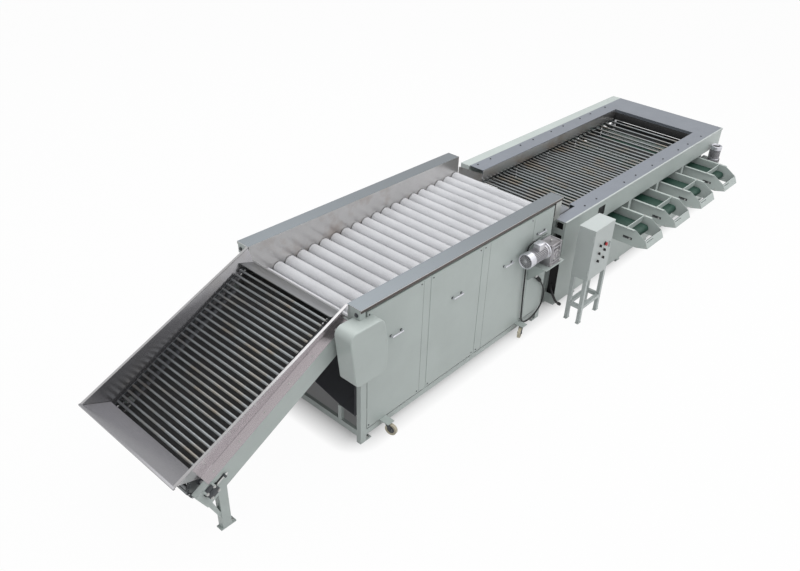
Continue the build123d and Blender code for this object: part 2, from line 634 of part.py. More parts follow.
# Elevator shafts: each has two notched wheels and the bars that lie round them
for name, centre, first, way in (("head", HEAD_SHAFT, 0, -1), ("tail", TAIL_SHAFT, 1, 1)):
    reach = DRIVE_WHEEL_Y[0] - 8 if name == "head" else BEAM_Y[0] - 40
    with BuildPart() as infeed_shaft:
        round_bars([centre], (reach, WASHER_WIDTH - BEAM_Y[0] + 40), INFEED_SHAFT)
        wrapped = []
        for i in range(INFEED_HALF_TURN):
            angle = math.radians(90 + SLOPE) + way * math.pi * (first + i) / INFEED_HALF_TURN
            dx, dz = INFEED_RADIUS * math.cos(angle), INFEED_RADIUS * math.sin(angle)
            wrapped.append((centre[0] + dx, centre[1] + dz))
        hex_bars(wrapped, INFEED_BAR_Y, BAR_RADIUS)
        for wheel_y in mirrored(INFEED_WHEEL_Y):
            face = facing_far(*centre, wheel_y[0], 90 + SLOPE)
            thick = wheel_y[1] - wheel_y[0]
            notched_wheel(face, INFEED_RADIUS, 2 * INFEED_HALF_TURN, INFEED_SHAFT + WELD_GAP, thick)
        if name == "head":
            chain_wheel(centre, DRIVE_WHEEL_Y, DRIVE_WHEEL)
    save(infeed_shaft, f"infeed_{name}_shaft")

# Gearmotors of the washer and the grader, and the chains that carry their drive
with BuildPart() as gearmotors:
    for start, end, radius in ((2150, 2225, MOTOR_RADIUS), (2225.2, 2468, 74), (2468.2, 2500, 88)):
        with BuildSketch(facing_along(MOTOR_Y, MOTOR_Z, start)) as section:
            Circle(radius)
        extrude(section.sketch, amount=end - start)
    block((2500.2, 2690), (MOTOR_Y - 80, MOTOR_Y + 80), (BRACKET_Z[1] + 1, 1078))
    block((2310, 2415), (-160, -76), (1086, 1145))
    gear_y = (GRADER_MOTOR_Y - 65, -40)
    block((HEAD_X - 70, HEAD_X + 70), gear_y, (GRADER_AXIS_Z - 75, GRADER_AXIS_Z + 62))
    flange_z = GRADER_AXIS_Z + 62.2
    for low, high, radius in ((flange_z, 775, 66), (775.2, 900, 70), (900.2, GRADER_MOTOR_TOP, 75)):
        with BuildSketch(Plane((X0 + HEAD_X, Y0 + GRADER_MOTOR_Y, low))) as section:
            Circle(radius)
        extrude(section.sketch, amount=high - low)
    chain_band(BRUSHES[0], BRUSHES[-1], (82, 90), CHAIN_WHEEL + 1)
    chain_band(HEAD_SHAFT, BRUSHES[0], (-60, -52), DRIVE_WHEEL + 1)
save(gearmotors, "gearmotors")

# Grader frame: posts, rails, skirts, fascia, end plate, chain case and shaft bearings
with BuildPart() as grader_frame:
    bearing_posts = (GRADER_FIRST_X - GRADER_POST / 2, HEAD_X - GRADER_POST / 2)
    bearing_seat = GRADER_AXIS_Z - 50
    for post_y in (POST_NEAR_Y, POST_FAR_Y):
        for post_x in GRADER_POSTS:
            block((post_x, post_x + GRADER_POST), post_y, (FOOT_PLATE + WELD_GAP, 1077.8))
        for post_x in bearing_posts:
            block((post_x, post_x + GRADER_POST), post_y, (FOOT_PLATE + WELD_GAP, bearing_seat - WELD_GAP))
            with BuildSketch(facing_far(post_x + GRADER_POST / 2, GRADER_AXIS_Z, post_y[0])) as bearing:
                Rectangle(90, 100)
                Circle(GRADER_SHAFT + RUNNING_FIT, mode=Mode.SUBTRACT)
            extrude(bearing.sketch, amount=post_y[1] - post_y[0])
        for post_x in GRADER_POSTS[:-1] + bearing_posts[1:]:
            block((post_x - 15, post_x + GRADER_POST + 15), post_y, (0, FOOT_PLATE))
        block((bearing_posts[0], bearing_posts[0] + GRADER_POST + 55), post_y, (0, FOOT_PLATE))
        block((GRADER_POSTS[-1] - 55, GRADER_POSTS[-1] + GRADER_POST), post_y, (0, FOOT_PLATE))
    foot_x = (bearing_posts[0] + GRADER_POST + 28, GRADER_POSTS[-1] - 28)
    foot_y = (sum(POST_NEAR_Y) / 2, sum(POST_FAR_Y) / 2)
    with Locations(*[(X0 + px, Y0 + py, FOOT_PLATE / 2) for px in foot_x for py in foot_y]):
        Cylinder(FOOT_HOLE, FOOT_PLATE, mode=Mode.SUBTRACT)
    block((3020, 3070), (112, 160), (FOOT_PLATE, 1077.8))
    block((3020, 3070), (160.2, 1494), (SKIRT_Z[0], 95))
    block((3020, 3070), (1494.2, 1554), (FOOT_PLATE, 1000))
    for end_z in ((SKIRT_Z[0], 95), (520, 570)):
        block((6985, 7035), (POST_NEAR_Y[1] + WELD_GAP, POST_FAR_Y[0] - WELD_GAP), end_z)
    near_face = (-20, -16)
    block((WINDOW_X[1], 7080), near_face, (FASCIA_BOTTOM, 1077.8))
    block((TALL_PANEL_END + 0.2, WINDOW_X[1] - 0.2), near_face, (WINDOW_Z[1], 1077.8))
    block((TALL_PANEL_END + 0.2, WINDOW_X[1] - 0.2), near_face, (FASCIA_BOTTOM, WINDOW_Z[0]))
    block((TALL_PANEL_END + 0.2, WINDOW_X[0]), near_face, (WINDOW_Z[0] + 0.2, WINDOW_Z[1] - 0.2))
    block((GRADER_START + 3.2, TALL_PANEL_END), near_face, (SKIRT_Z[0], 1077.8))
    block((TALL_PANEL_END + 0.2, 7080), near_face, SKIRT_Z)
    block((3411, 7080), (1555, 1559), SKIRT_Z)
    block((GRADER_START, GRADER_START + 3), (-20, 130), (570, 1077.8))
    for cut_z in ((988, 1062), (867, 918)):
        block((GRADER_START - 1, GRADER_START + 4), (10, 112), cut_z, Mode.SUBTRACT)
    block((GRADER_START, GRADER_START + 3), (-20, 130), (SKIRT_Z[0], 170))
    block((3411, GRADER_END), (1597.2, FAR_REACH), (842, DECK_TOP))
    block((7076, 7080), (POST_NEAR_Y[0], 1590), (FASCIA_BOTTOM, 1077.8))
    for rail_y in ((44.2, 84), (1455, 1494.8)):
        block((3600, 6640), rail_y, (574, OUTFEED_FLOOR - WELD_GAP))
    for rail_y in mirrored((153, 165), 1600):
        block((3440, 6730), rail_y, (875, 904))
    for post_x in GRADER_POSTS[:-1]:
        block((post_x + 10, post_x + 50), (44.2, 152.8), (860, 900))
        block((post_x + 10, post_x + 50), (1447.2, 1494.8), (860, 900))
save(grader_frame, "grader_frame")

# Grader deck: painted strips round the sorting opening, and the opening's walls
with BuildPart() as grader_deck:
    deck_z = (DECK_TOP - SHEET, DECK_TOP)
    block((GRADER_START, OPENING_START), (DECK_Y[0], 130), deck_z)
    block((OPENING_START + 0.2, GRADER_END), (DECK_Y[0], OPENING_Y[0]), deck_z)
    block((OPENING_START + 0.2, GRADER_END), (OPENING_Y[1], DECK_Y[1]), deck_z)
    block((OPENING_END, GRADER_END), (OPENING_Y[0] + 0.2, OPENING_Y[1] - 0.2), deck_z)
    wall_z = (942, DECK_TOP - SHEET - 0.2)
    for wall_y in mirrored((OPENING_Y[0] - SHEET, OPENING_Y[0]), 1600):
        block((OPENING_START + 0.2, OPENING_END), wall_y, wall_z)
    block((OPENING_END, OPENING_END + SHEET), (OPENING_Y[0] + 0.2, OPENING_Y[1] - 0.2), wall_z)
save(grader_deck, "grader_deck")

# Grading chain: the sorting run with its widening gaps, and the run that comes back below
bar_places = grading_bars()
return_z = GRADER_AXIS_Z - GRADER_RADIUS
for name, places, height, form in (
    ("grader_top_bars", bar_places, GRADER_BAR_Z, round_bars),
    ("grader_return_bars", bar_places[1:], return_z, hex_bars),
):
    with BuildPart() as run:
        form([(px, height) for px in places], GRADER_BAR_Y, BAR_RADIUS)
        for strip_y in mirrored(GRADER_CHAIN_Y, 1600):
            block((places[0] - 12, places[-1] + 12), strip_y, (height - 8, height + 8))
    save(run, name)

# Grader shafts: plain guide wheels at the tail, notched driving wheels at the head
for name, axis_x, count, lead, way in (
    ("head", HEAD_X, HEAD_BARS, HEAD_LEAD / GRADER_RADIUS, -1),
    ("tail", GRADER_FIRST_X, GRADER_HALF_TURN, math.pi / GRADER_HALF_TURN, 1),
):
    reach = -38 if name == "head" else POST_NEAR_Y[0]
    with BuildPart() as grader_shaft:
        round_bars([(axis_x, GRADER_AXIS_Z)], (reach, POST_FAR_Y[1]), GRADER_SHAFT)
        wrapped = []
        for i in range(count):
            angle = math.pi / 2 + way * (lead + math.pi * i / count)
            dx, dz = GRADER_RADIUS * math.cos(angle), GRADER_RADIUS * math.sin(angle)
            wrapped.append((axis_x + dx, GRADER_AXIS_Z + dz))
        hex_bars(wrapped, GRADER_BAR_Y, BAR_RADIUS)
        for wheel_y in mirrored(GRADER_WHEEL_Y, 1600):
            face = facing_far(axis_x, GRADER_AXIS_Z, wheel_y[0], 90 + way * math.degrees(lead))
            thick = wheel_y[1] - wheel_y[0]
            if name == "head":
                notched_wheel(face, GRADER_RADIUS, 2 * HEAD_BARS, GRADER_SHAFT + WELD_GAP, thick)
            else:
                with BuildSketch(face) as rim:
                    Circle(GRADER_RADIUS - BAR_RADIUS - 0.5)
                    Circle(GRADER_SHAFT + WELD_GAP, mode=Mode.SUBTRACT)
                extrude(rim.sketch, amount=thick)
    save(grader_shaft, f"grader_{name}_shaft")

# Outfeed frames: flanged side plates that end in an open spout over the working side
with BuildPart() as outfeed_frames:
    side = [(OUTFEED_BACK, OUTFEED_FLOOR), (OUTFEED_BACK, OUTFEED_TOP), (SPOUT_BEND, OUTFEED_TOP)]
    side += [SPOUT_NOSE, SPOUT_TOE, (SPOUT_HEEL, OUTFEED_FLOOR)]
    for middle in OUTFEEDS:
        low, high = middle - OUTFEED_WIDTH / 2, middle + OUTFEED_WIDTH / 2
        for plate_x in ((low, low + SHEET), (high - SHEET, high)):
            cross_plate(side, plate_x)
            cut_x = (plate_x[0] - 1, plate_x[1] + 1)
            block(cut_x, (HEAD_DRUM_Y - 20, HEAD_DRUM_Y + 80), (DRUM_Z - 8, DRUM_Z + 8), Mode.SUBTRACT)
            block(cut_x, (TAIL_DRUM_Y - 8, TAIL_DRUM_Y + 8), (DRUM_Z - 8, DRUM_Z + 8), Mode.SUBTRACT)
        for flange_x in ((low - OUTFEED_FLANGE, low - 0.2), (high + 0.2, high + OUTFEED_FLANGE)):
            block(flange_x, (SPOUT_BEND, OUTFEED_BACK), (OUTFEED_TOP - SHEET, OUTFEED_TOP))
        front = [SPOUT_NOSE, SPOUT_TOE]
        front += [(py + SHEET, pz) for py, pz in reversed(front)]
        cross_plate(front, (low + SHEET + 0.2, high - SHEET - 0.2))
        block((low + 25, low + 175), (-610, -540), (704, 714), Mode.SUBTRACT)
save(outfeed_frames, "outfeed_frames")

# Flaps that hang across the belts, each on a round rod
with BuildPart() as outfeed_flaps:
    for middle in OUTFEEDS:
        half = OUTFEED_WIDTH / 2 - SHEET - 1
        block((middle - half, middle + half), (FLAP_Y - 2, FLAP_Y + 2), (FLAP_Z - FLAP_LENGTH, FLAP_Z))
        with BuildSketch(facing_along(FLAP_Y, FLAP_Z, middle - half)) as rod:
            Circle(FLAP_ROD)
        extrude(rod.sketch, amount=2 * half)
save(outfeed_flaps, "outfeed_flaps")

# Outfeed belts: closed loops round their drums
with BuildPart() as outfeed_belts:
    middle_y = (HEAD_DRUM_Y + TAIL_DRUM_Y) / 2
    for middle in OUTFEEDS:
        with BuildSketch(facing_along(middle_y, DRUM_Z, middle - BELT_WIDTH / 2)) as loop:
            SlotCenterToCenter(TAIL_DRUM_Y - HEAD_DRUM_Y, 2 * BELT_RADIUS)
            SlotCenterToCenter(TAIL_DRUM_Y - HEAD_DRUM_Y, 2 * (BELT_RADIUS - BELT_THICK), mode=Mode.SUBTRACT)
        extrude(loop.sketch, amount=BELT_WIDTH)
save(outfeed_belts, "outfeed_belts")

# Drums on six-sided journals: one line of four at each end of the belts
for name, drum_y in (("outfeed_head_drums", HEAD_DRUM_Y), ("outfeed_tail_drums", TAIL_DRUM_Y)):
    with BuildPart() as drums:
        for middle in OUTFEEDS:
            half = OUTFEED_WIDTH / 2 + 6
            with BuildSketch(facing_along(drum_y, DRUM_Z, middle - half)) as journal:
                RegularPolygon(DRUM_HEX, 6)
            extrude(journal.sketch, amount=2 * half)
            with BuildSketch(facing_along(drum_y, DRUM_Z, middle - BELT_WIDTH / 2)) as shell:
                Circle(DRUM_RADIUS)
            extrude(shell.sketch, amount=BELT_WIDTH)
    save(drums, name)

# Control cabinet: an open-fronted case on a stand
with BuildPart() as control_cabinet:
    block(CABINET_X, CABINET_Y, CABINET_Z)
    wall = CABINET_WALL
    block((CABINET_X[0] + wall, CABINET_X[1] - wall), (CABINET_Y[0] - 1, CABINET_Y[1] - wall),
          (CABINET_Z[0] + wall, CABINET_Z[1] - wall), Mode.SUBTRACT)
    for leg_x in ((STAND_X[0], STAND_X[0] + STAND_LEG), (STAND_X[1] - STAND_LEG, STAND_X[1])):
        for leg_y in ((STAND_Y[0], STAND_Y[0] + STAND_LEG), (STAND_Y[1] - STAND_LEG, STAND_Y[1])):
            block(leg_x, leg_y, (10.2, CABINET_Z[0] - WELD_GAP))
            block((leg_x[0] - 12, leg_x[1] + 12), leg_y, (0, 10))
        rail_y = (STAND_Y[0] + STAND_LEG + WELD_GAP, STAND_Y[1] - STAND_LEG - WELD_GAP)
        block(leg_x, rail_y, STAND_RAIL)
    rail_x = (STAND_X[0] + STAND_LEG + WELD_GAP, STAND_X[1] - STAND_LEG - WELD_GAP)
    for rail_y in ((STAND_Y[0], STAND_Y[0] + STAND_LEG), (STAND_Y[1] - STAND_LEG, STAND_Y[1])):
        block(rail_x, rail_y, STAND_RAIL)
save(control_cabinet, "control_cabinet")

# Its door, with a hole for the stop button
with BuildPart() as control_door:
    block(CABINET_X, DOOR_Y, CABINET_Z)
    with BuildSketch(facing_far(*STOP_PLACE, DOOR_Y[0] - 1)) as stop_hole:
        Circle(STOP_RADIUS + RUNNING_FIT)
    extrude(stop_hole.sketch, amount=30, mode=Mode.SUBTRACT)
    block((3318, 3330), (DOOR_Y[0] - 16, DOOR_Y[0] + 1), (835, 905))
save(control_door, "control_door")

# Emergency stop: a mushroom head on a round stem
with BuildPart() as emergency_stop:
    for start, end, radius in ((-428, -411, 20.0), (-411, -390, STOP_RADIUS)):
        with BuildSketch(facing_far(*STOP_PLACE, start)) as section:
            Circle(radius)
        extrude(section.sketch, amount=end - start)
save(emergency_stop, "emergency_stop")

# Selector switches: a round skirt with a grip bar across it
for number, place in enumerate(SELECTORS, 1):
    with BuildPart() as selector:
        with BuildSketch(facing_far(*place, -410)) as skirt:
            RegularPolygon(15, 10)
        extrude(skirt.sketch, amount=9.6)
        block((place[0] - 5, place[0] + 5), (-424, -410), (place[1] - 14, place[1] + 14))
    save(selector, f"selector_{number}")

# Castors: a swivelling fork and the wheel on its axle
for number, (castor_x, castor_y, turn) in enumerate(CASTORS, 1):
    ahead = (math.cos(math.radians(turn)), math.sin(math.radians(turn)), 0)
    aside = (ahead[1], -ahead[0], 0)
    centre = Vector(X0 + castor_x, Y0 + castor_y, 0)
    hub = centre + Vector(*ahead) * CASTOR_TRAIL + Vector(0, 0, CASTOR_AXLE_Z)
    with BuildPart() as castor_fork:
        with Locations((centre.X, centre.Y, 128.8)):
            Cylinder(30, 13.6)
        for start in (CASTOR_HALF_WIDTH + 1, -CASTOR_HALF_WIDTH - 5):
            with BuildSketch(Plane(centre + Vector(*aside) * start, x_dir=ahead, z_dir=aside)) as cheek:
                with BuildLine():
                    Polyline((-20, 123), (24, 123), (52, 66), (48, 50), (32, 50), close=True)
                make_face()
            extrude(cheek.sketch, amount=4)
        with BuildSketch(Plane(hub - Vector(*aside) * 20, x_dir=ahead, z_dir=aside)) as axle:
            RegularPolygon(CASTOR_AXLE, 6)
        extrude(axle.sketch, amount=40)
    save(castor_fork, f"castor_fork_{number}")
    with BuildPart() as castor_wheel:
        start = hub - Vector(*aside) * CASTOR_HALF_WIDTH
        with BuildSketch(Plane(start, x_dir=ahead, z_dir=aside)) as tread:
            Circle(CASTOR_RADIUS)
            Circle(CASTOR_AXLE + RUNNING_FIT, mode=Mode.SUBTRACT)
        extrude(tread.sketch, amount=2 * CASTOR_HALF_WIDTH)
    save(castor_wheel, f"castor_wheel_{number}")

# Motor cable: straight runs joined by arcs, ending in a thick sleeve
with BuildPart() as motor_cable:
    points = [Vector(X0 + px, Y0 + py, pz) for px, py, pz in CABLE_ROUTE]
    radii = []
    for before, here, after in zip(points, points[1:], points[2:]):
        first, second = here - before, after - here
        turn = math.radians(first.get_angle(second))
        radii.append(0.45 * min(first.length, second.length) / math.tan(turn / 2))
    with BuildLine() as route:
        FilletPolyline(*points, radius=radii)
    with BuildSketch(Plane(points[0], z_dir=points[1] - points[0])):
        RegularPolygon(CABLE_DIAMETER / 2, 8)
    sweep(path=route.line)
    top = Vector(X0 + SLEEVE_TOP[0], Y0 + SLEEVE_TOP[1], SLEEVE_TOP[2])
    lean = (top - points[-1]).normalized()
    with BuildSketch(Plane(points[-1] + lean * WELD_GAP, z_dir=lean)) as sleeve:
        RegularPolygon(SLEEVE_RADIUS, 12)
    extrude(sleeve.sketch, amount=(top - points[-1]).length)
    print("cable bend radii", [round(radius) for radius in radii], "length", round(route.wires()[0].length))
save(motor_cable, "motor_cable")
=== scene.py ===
"""Dresses the potato washer grader: brushes, bar chains, motors, fittings, finishes and the studio."""

import math
from contextlib import contextmanager

import bpy
from mathutils import Matrix, Vector


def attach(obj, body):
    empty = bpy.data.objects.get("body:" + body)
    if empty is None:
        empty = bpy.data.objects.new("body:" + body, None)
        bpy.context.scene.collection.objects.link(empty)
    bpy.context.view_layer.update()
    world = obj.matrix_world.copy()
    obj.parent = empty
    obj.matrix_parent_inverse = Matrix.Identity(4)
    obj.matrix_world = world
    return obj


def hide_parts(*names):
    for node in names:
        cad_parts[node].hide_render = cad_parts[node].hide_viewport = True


bl_info = {
    "name": "Potato Washer Grader",
    "version": (1, 0, 0),
    "blender": (4, 5, 0),
    "location": "3D View > Sidebar > Washer Grader",
    "description": "Models the visible detail of a potato washer grader over its packed frame",
    "category": "Object",
}

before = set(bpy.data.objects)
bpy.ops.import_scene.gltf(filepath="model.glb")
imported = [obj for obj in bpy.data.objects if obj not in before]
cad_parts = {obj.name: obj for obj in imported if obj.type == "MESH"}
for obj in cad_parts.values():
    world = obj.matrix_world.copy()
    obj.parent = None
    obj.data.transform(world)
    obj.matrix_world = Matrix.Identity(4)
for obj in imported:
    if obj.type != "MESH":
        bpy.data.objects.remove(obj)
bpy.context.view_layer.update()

# The washer's near infeed corner on the floor; sizes below are millimetres from it
CORNER = Vector((-2.711, -0.5615, 0.0))
METRE = 1000
SMOOTH_ANGLE = math.radians(40)
BEVEL_ANGLE = math.radians(35)
FACING = 0.9
UP = (0, 0, 1)
ALONG = (1, 0, 0)
ACROSS = (0, 1, 0)
TO_INFEED = (-1, 0, 0)
TO_FRONT = (0, -1, 0)

# A bolt's washer and head, as shares of the head's radius
BOLT_WASHER = 1.55
BOLT_WASHER_TOP = 0.22
BOLT_HEAD = (0.2, 0.95)
BOLT_EDGE = 0.12

# Washer
WASHER_WIDTH = 1500
FOOT_TOP = 12
# Handles in X and Z; castors in X, Y and the turn of the fork in degrees
HANDLES = ((421, 1000), (1227, 1000), (2008, 1000), (2550, 1150))
CASTORS = ((285, -58, 282), (2335, -58, 200), (285, 1558, 70), (2335, 1558, 40))
CASTOR_AXLE = (40, 61)
BRUSH_FIRST = (166.0, 1086.0)
BRUSH_STEP = (139.8, 5.842)
BRUSH_COUNT = 20
PILE_Y = (147.0, 1353.0)
PILE_INSET = 5
PILE_SLICES = 110
PILE_SIDES = 80
PILE_END = 58
STRAND_MARGIN = 12
STRAND_TURN = 2.4
BRUSH_SHAFT = 15
BRUSH_SHAFT_Y = (76, 1404)
BRUSH_WHEEL = 46
BRUSH_WHEEL_Y = (80, 92)
DRIVE_SHAFT_NEAR = -70
DRIVE_WHEEL = 22
DRIVE_WHEEL_Y = (-62, -50)
TOOTH = (0.8, 0.87, 1.0, 0.87)
TEETH = 10
CHAIN_PITCH = 19.0
CHAIN_RISE = 1.2
# The motor lies along the machine, so its axis is in Y and Z
MOTOR_AXIS = (-110, 1010)

# Elevator
SLOPE = math.radians(28.0)
BAR_RADIUS = 14.0
PIN_RADIUS = 6.5
PIN_REACH = 13.5
LINK_THICK = 3.5
LINK_STEP = 4.5
LINK_GAPS = (-12.8, 1.0)
WHEEL_THICK = 12
INFEED_BARS = 27
INFEED_HALF_TURN = 7
INFEED_PITCH = 55.0
INFEED_TAIL = -1009.0
INFEED_HEAD = INFEED_TAIL + INFEED_BARS * INFEED_PITCH
INFEED_LEVEL = 1206.0
INFEED_RADIUS = INFEED_HALF_TURN * INFEED_PITCH / math.pi
INFEED_AXIS = INFEED_LEVEL - INFEED_RADIUS
INFEED_BAR_Y = (222, 1278)
INFEED_WHEEL_Y = (236, 1252)
INFEED_SHAFT = 15
INFEED_SHAFT_FAR = 1430
INFEED_TAIL_NEAR = 70
BEAM_FACE = 110
BEARING_DEPTH = 33.5

# Grader and outfeeds
GRADER_PITCH = 72.0
GRADER_HALF_TURN = 10
GRADER_FIRST = 3412.0
GRADER_HEAD = 6757.0
GRADER_HEAD_BARS = 5
GRADER_HEAD_LEAD = 50.0
GRADER_LEVEL = 921.0
GRADER_RADIUS = GRADER_HALF_TURN * GRADER_PITCH / math.pi
GRADER_AXIS = GRADER_LEVEL - GRADER_RADIUS
GRADER_EVEN = 17
GRADER_SPREAD = 20
GRADER_SPREAD_RATE = 0.238
GRADER_BAR_Y = (150.2, 1449.8)
GRADER_WHEEL_Y = (168, 1420)
GRADER_SHAFT = 19.4
GRADER_SHAFT_FAR = 1554.8
DECK_TOP = 1082
DECK_ENDS = (3016, 7093)
DECK_SCREWS = (3521, 3770, 4407, 4692, 5119, 5413, 5848, 6134, 6547)
OUTFEEDS = [4102.5 + 718.0 * index for index in range(4)]
OUTFEED_HALF = 197.5
SPOUT_HALF = 193.3
# The drums lie along the machine too
DRUM_AXIS = (-370, 697)

# Control cabinet and cables
# Switches in X and Z on the door, and the hinge in X and Y
SELECTORS = ((3112, 930), (3112, 838), (3112, 745), (3222, 842), (3222, 750))
STOP_PLACE = (3222, 914)
DOOR_FACE = -400.1
HINGE_PLACE = (2966.5, -389.5)
CABLE_RADIUS = 8.5
CABLE_ROUTE = (
    (2411, -65, 1122), (2364, -48, 1122), (2327, -34, 1101), (2306, -26, 1062), (2307, -22, 975),
    (2326, -22, 795), (2337, -22, 540), (2351, -22, 325), (2360, -22, 213), (2376, -22, 158),
    (2412, -22, 115), (2474, -22, 94), (2551, -22, 95), (2622, -22, 110), (2684, -22, 141),
    (2733, -22, 186), (2762, -22, 246), (2768, -22, 314), (2746, -22, 390), (2702, -22, 464),
    (2644, -22, 536),
)
SLEEVE_TOP = (2535, -22, 646)
CONDUIT_RADIUS = 14
CONDUIT_ROUTE = (
    (3052, 62, 268), (3020, 42, 245), (3003, 14, 214), (2996, -22, 168), (3006, -44, 122), (3034, -56, 86),
    (3062, -62, 64),
)

# Studio, in metres
LAMP_TARGET = Vector((0, 0, 0.6))
LAMPS = (
    ("softbox_over", (0.6, 0.3, 7.5), 13.0, 1.0),
    ("softbox_front", (2.2, -8.5, 4.5), 7.0, 0.175),
    ("softbox_left", (-8.5, -4.0, 4.0), 6.0, 0.085),
    ("softbox_right", (8.5, -5.0, 5.0), 5.0, 0.06),
)
FLOOR_SIZE = 120
FLOOR_LEVEL = -0.0005
FLOOR_WHITE = 0.97
SHADOW_LEAST = 0.06
SHADOW_MIDDLE = (0.84, 0.22, 0.0)
SHADOW_HALF = (3.42, 0.60, 1.0)
SHADOW_FADE = 0.32
CAMERA_PLACE = (-6.1306, -4.0121, 4.7829)
CAMERA_RIGHT = (0.647, -0.760, 0.056)
CAMERA_FORWARD = (0.656, 0.517, -0.550)
CAMERA_SHIFT = (-0.0478, 0.0135)
SENSOR_WIDTH = 36


class FinishSettings(bpy.types.PropertyGroup):
    """Colours of the machine's finishes."""

    paint: bpy.props.FloatVectorProperty(
        name="Paint", description="Pale grey-green paint of frames and panels",
        subtype="COLOR", size=3, min=0, max=1, default=(0.46, 0.51, 0.49))
    stainless: bpy.props.FloatVectorProperty(
        name="Stainless", description="Brushed sheet of the trough and chute",
        subtype="COLOR", size=3, min=0, max=1, default=(0.66, 0.65, 0.64))
    bars: bpy.props.FloatVectorProperty(
        name="Bars", description="Worn steel of the conveyor bars",
        subtype="COLOR", size=3, min=0, max=1, default=(0.17, 0.18, 0.185))
    bristle: bpy.props.FloatVectorProperty(
        name="Bristle", description="Nylon pile of the brushes",
        subtype="COLOR", size=3, min=0, max=1, default=(0.57, 0.575, 0.595))
    belt: bpy.props.FloatVectorProperty(
        name="Belt", description="Green facing of the outfeed belts",
        subtype="COLOR", size=3, min=0, max=1, default=(0.008, 0.044, 0.029))
    motor: bpy.props.FloatVectorProperty(
        name="Motor", description="Silver cowls and flanges of the gearmotors",
        subtype="COLOR", size=3, min=0, max=1, default=(0.62, 0.62, 0.66))


class BrushSettings(bpy.types.PropertyGroup):
    """Build of one brush."""

    core: bpy.props.FloatProperty(
        name="Pile", description="Radius that the pile is built from; its face lies 5 mm inside",
        unit="LENGTH", default=0.0665, min=0.05, max=0.068)
    tips: bpy.props.FloatProperty(
        name="Tips", description="Radius that the longest strands reach",
        unit="LENGTH", default=0.0687, min=0.06, max=0.0695)
    rings: bpy.props.IntProperty(
        name="Rings", description="Rings of loose strands along the pile", default=46, min=10, max=80)
    strands: bpy.props.IntProperty(
        name="Strands", description="Loose strands in each ring", default=16, min=6, max=32)


class StageSettings(bpy.types.PropertyGroup):
    """Camera and light."""

    lens: bpy.props.FloatProperty(
        name="Lens", description="Focal length on a 36 mm sensor",
        subtype="DISTANCE_CAMERA", default=34.43, min=20, max=100)
    key: bpy.props.FloatProperty(
        name="Key light", description="Power of the overhead softbox in watts",
        default=720.0, min=0, max=4000)
    fill: bpy.props.FloatProperty(
        name="Fill", description="Strength of the even studio light", default=0.40, min=0, max=2)


def at(x, y, z):
    """A point in the frame from millimetres measured from the washer's corner."""
    return CORNER + Vector((x, y, z)) / METRE


def on_slope(along, level):
    """X and Z in millimetres at a length along the elevator and a level square to it."""
    sin, cos = math.sin(SLOPE), math.cos(SLOPE)
    return (along * cos - level * sin, along * sin + level * cos)


def slope_points(places, y):
    """Points at one place in Y from lengths along the elevator and levels square to it."""
    return [(x, y, z) for x, z in (on_slope(*place) for place in places)]


def on_circle(axis, radius, turn):
    """X and Z at a turn round an axis that lies across the machine."""
    return (axis[0] + radius * math.cos(turn), axis[1] + radius * math.sin(turn))


def both_sides(y):
    """A place in Y and the same one on the far side."""
    return (y, WASHER_WIDTH - y)


def both_faces(y):
    """A face in Y and the same one on the far side, each with the way inwards."""
    return tuple(zip(both_sides(y), (1, -1)))


def both_spans(low, high):
    """A span in Y and the same one on the far side."""
    return ((low, high), (WASHER_WIDTH - high, WASHER_WIDTH - low))


def clear():
    """Object mode with nothing selected."""
    if bpy.context.object and bpy.context.object.mode != "OBJECT":
        bpy.ops.object.mode_set(mode="OBJECT")
    bpy.ops.object.select_all(action="DESELECT")


def only(piece):
    """Object mode with one piece selected and active."""
    clear()
    piece.select_set(True)
    bpy.context.view_layer.objects.active = piece


@contextmanager
def editing(piece, test=None, kind="VERT"):
    """Edit mode on a piece, with all of it selected, or the points or faces that pass a test."""
    only(piece)
    bpy.ops.object.mode_set(mode="EDIT")
    bpy.ops.mesh.select_mode(type=kind)
    bpy.ops.mesh.select_all(action="DESELECT" if test else "SELECT")
    if test:
        bpy.ops.object.mode_set(mode="OBJECT")
        for part in piece.data.vertices if kind == "VERT" else piece.data.polygons:
            part.select = test(part)
        bpy.ops.object.mode_set(mode="EDIT")
        bpy.ops.mesh.select_mode(type=kind)
    yield
    bpy.ops.object.mode_set(mode="OBJECT")


def settle(piece):
    """Puts a piece's place into its mesh, so its object sits at the origin."""
    only(piece)
    bpy.ops.object.transform_apply(location=True, rotation=True, scale=True)
    return piece


def shaped(piece, kind, **values):
    """A piece with a modifier applied to it."""
    only(piece)
    modifier = piece.modifiers.new(kind.lower(), kind)
    for name, value in values.items():
        setattr(modifier, name, value)
    bpy.ops.object.modifier_apply(modifier=modifier.name)
    return piece


def soften(piece, width, segments=2):
    """Rounds a piece's hard edges by a width in millimetres, and smooths it."""
    shaped(piece, "BEVEL", width=width / METRE, segments=segments,
           limit_method="ANGLE", angle_limit=BEVEL_ANGLE)
    bpy.ops.object.shade_smooth_by_angle(angle=SMOOTH_ANGLE)
    return piece


def coat(piece, finish):
    """A piece with one finish."""
    piece.data.materials.clear()
    piece.data.materials.append(material_of(finish))
    return piece


def box(finish, low, high, edge=1.5):
    """A box between two corners in millimetres, with rounded edges."""
    clear()
    bpy.ops.mesh.primitive_cube_add(size=1, location=at(*[(a + b) / 2 for a, b in zip(low, high)]))
    piece = bpy.context.object
    piece.scale = [(b - a) / METRE for a, b in zip(low, high)]
    settle(piece)
    return coat(soften(piece, edge) if edge else piece, finish)


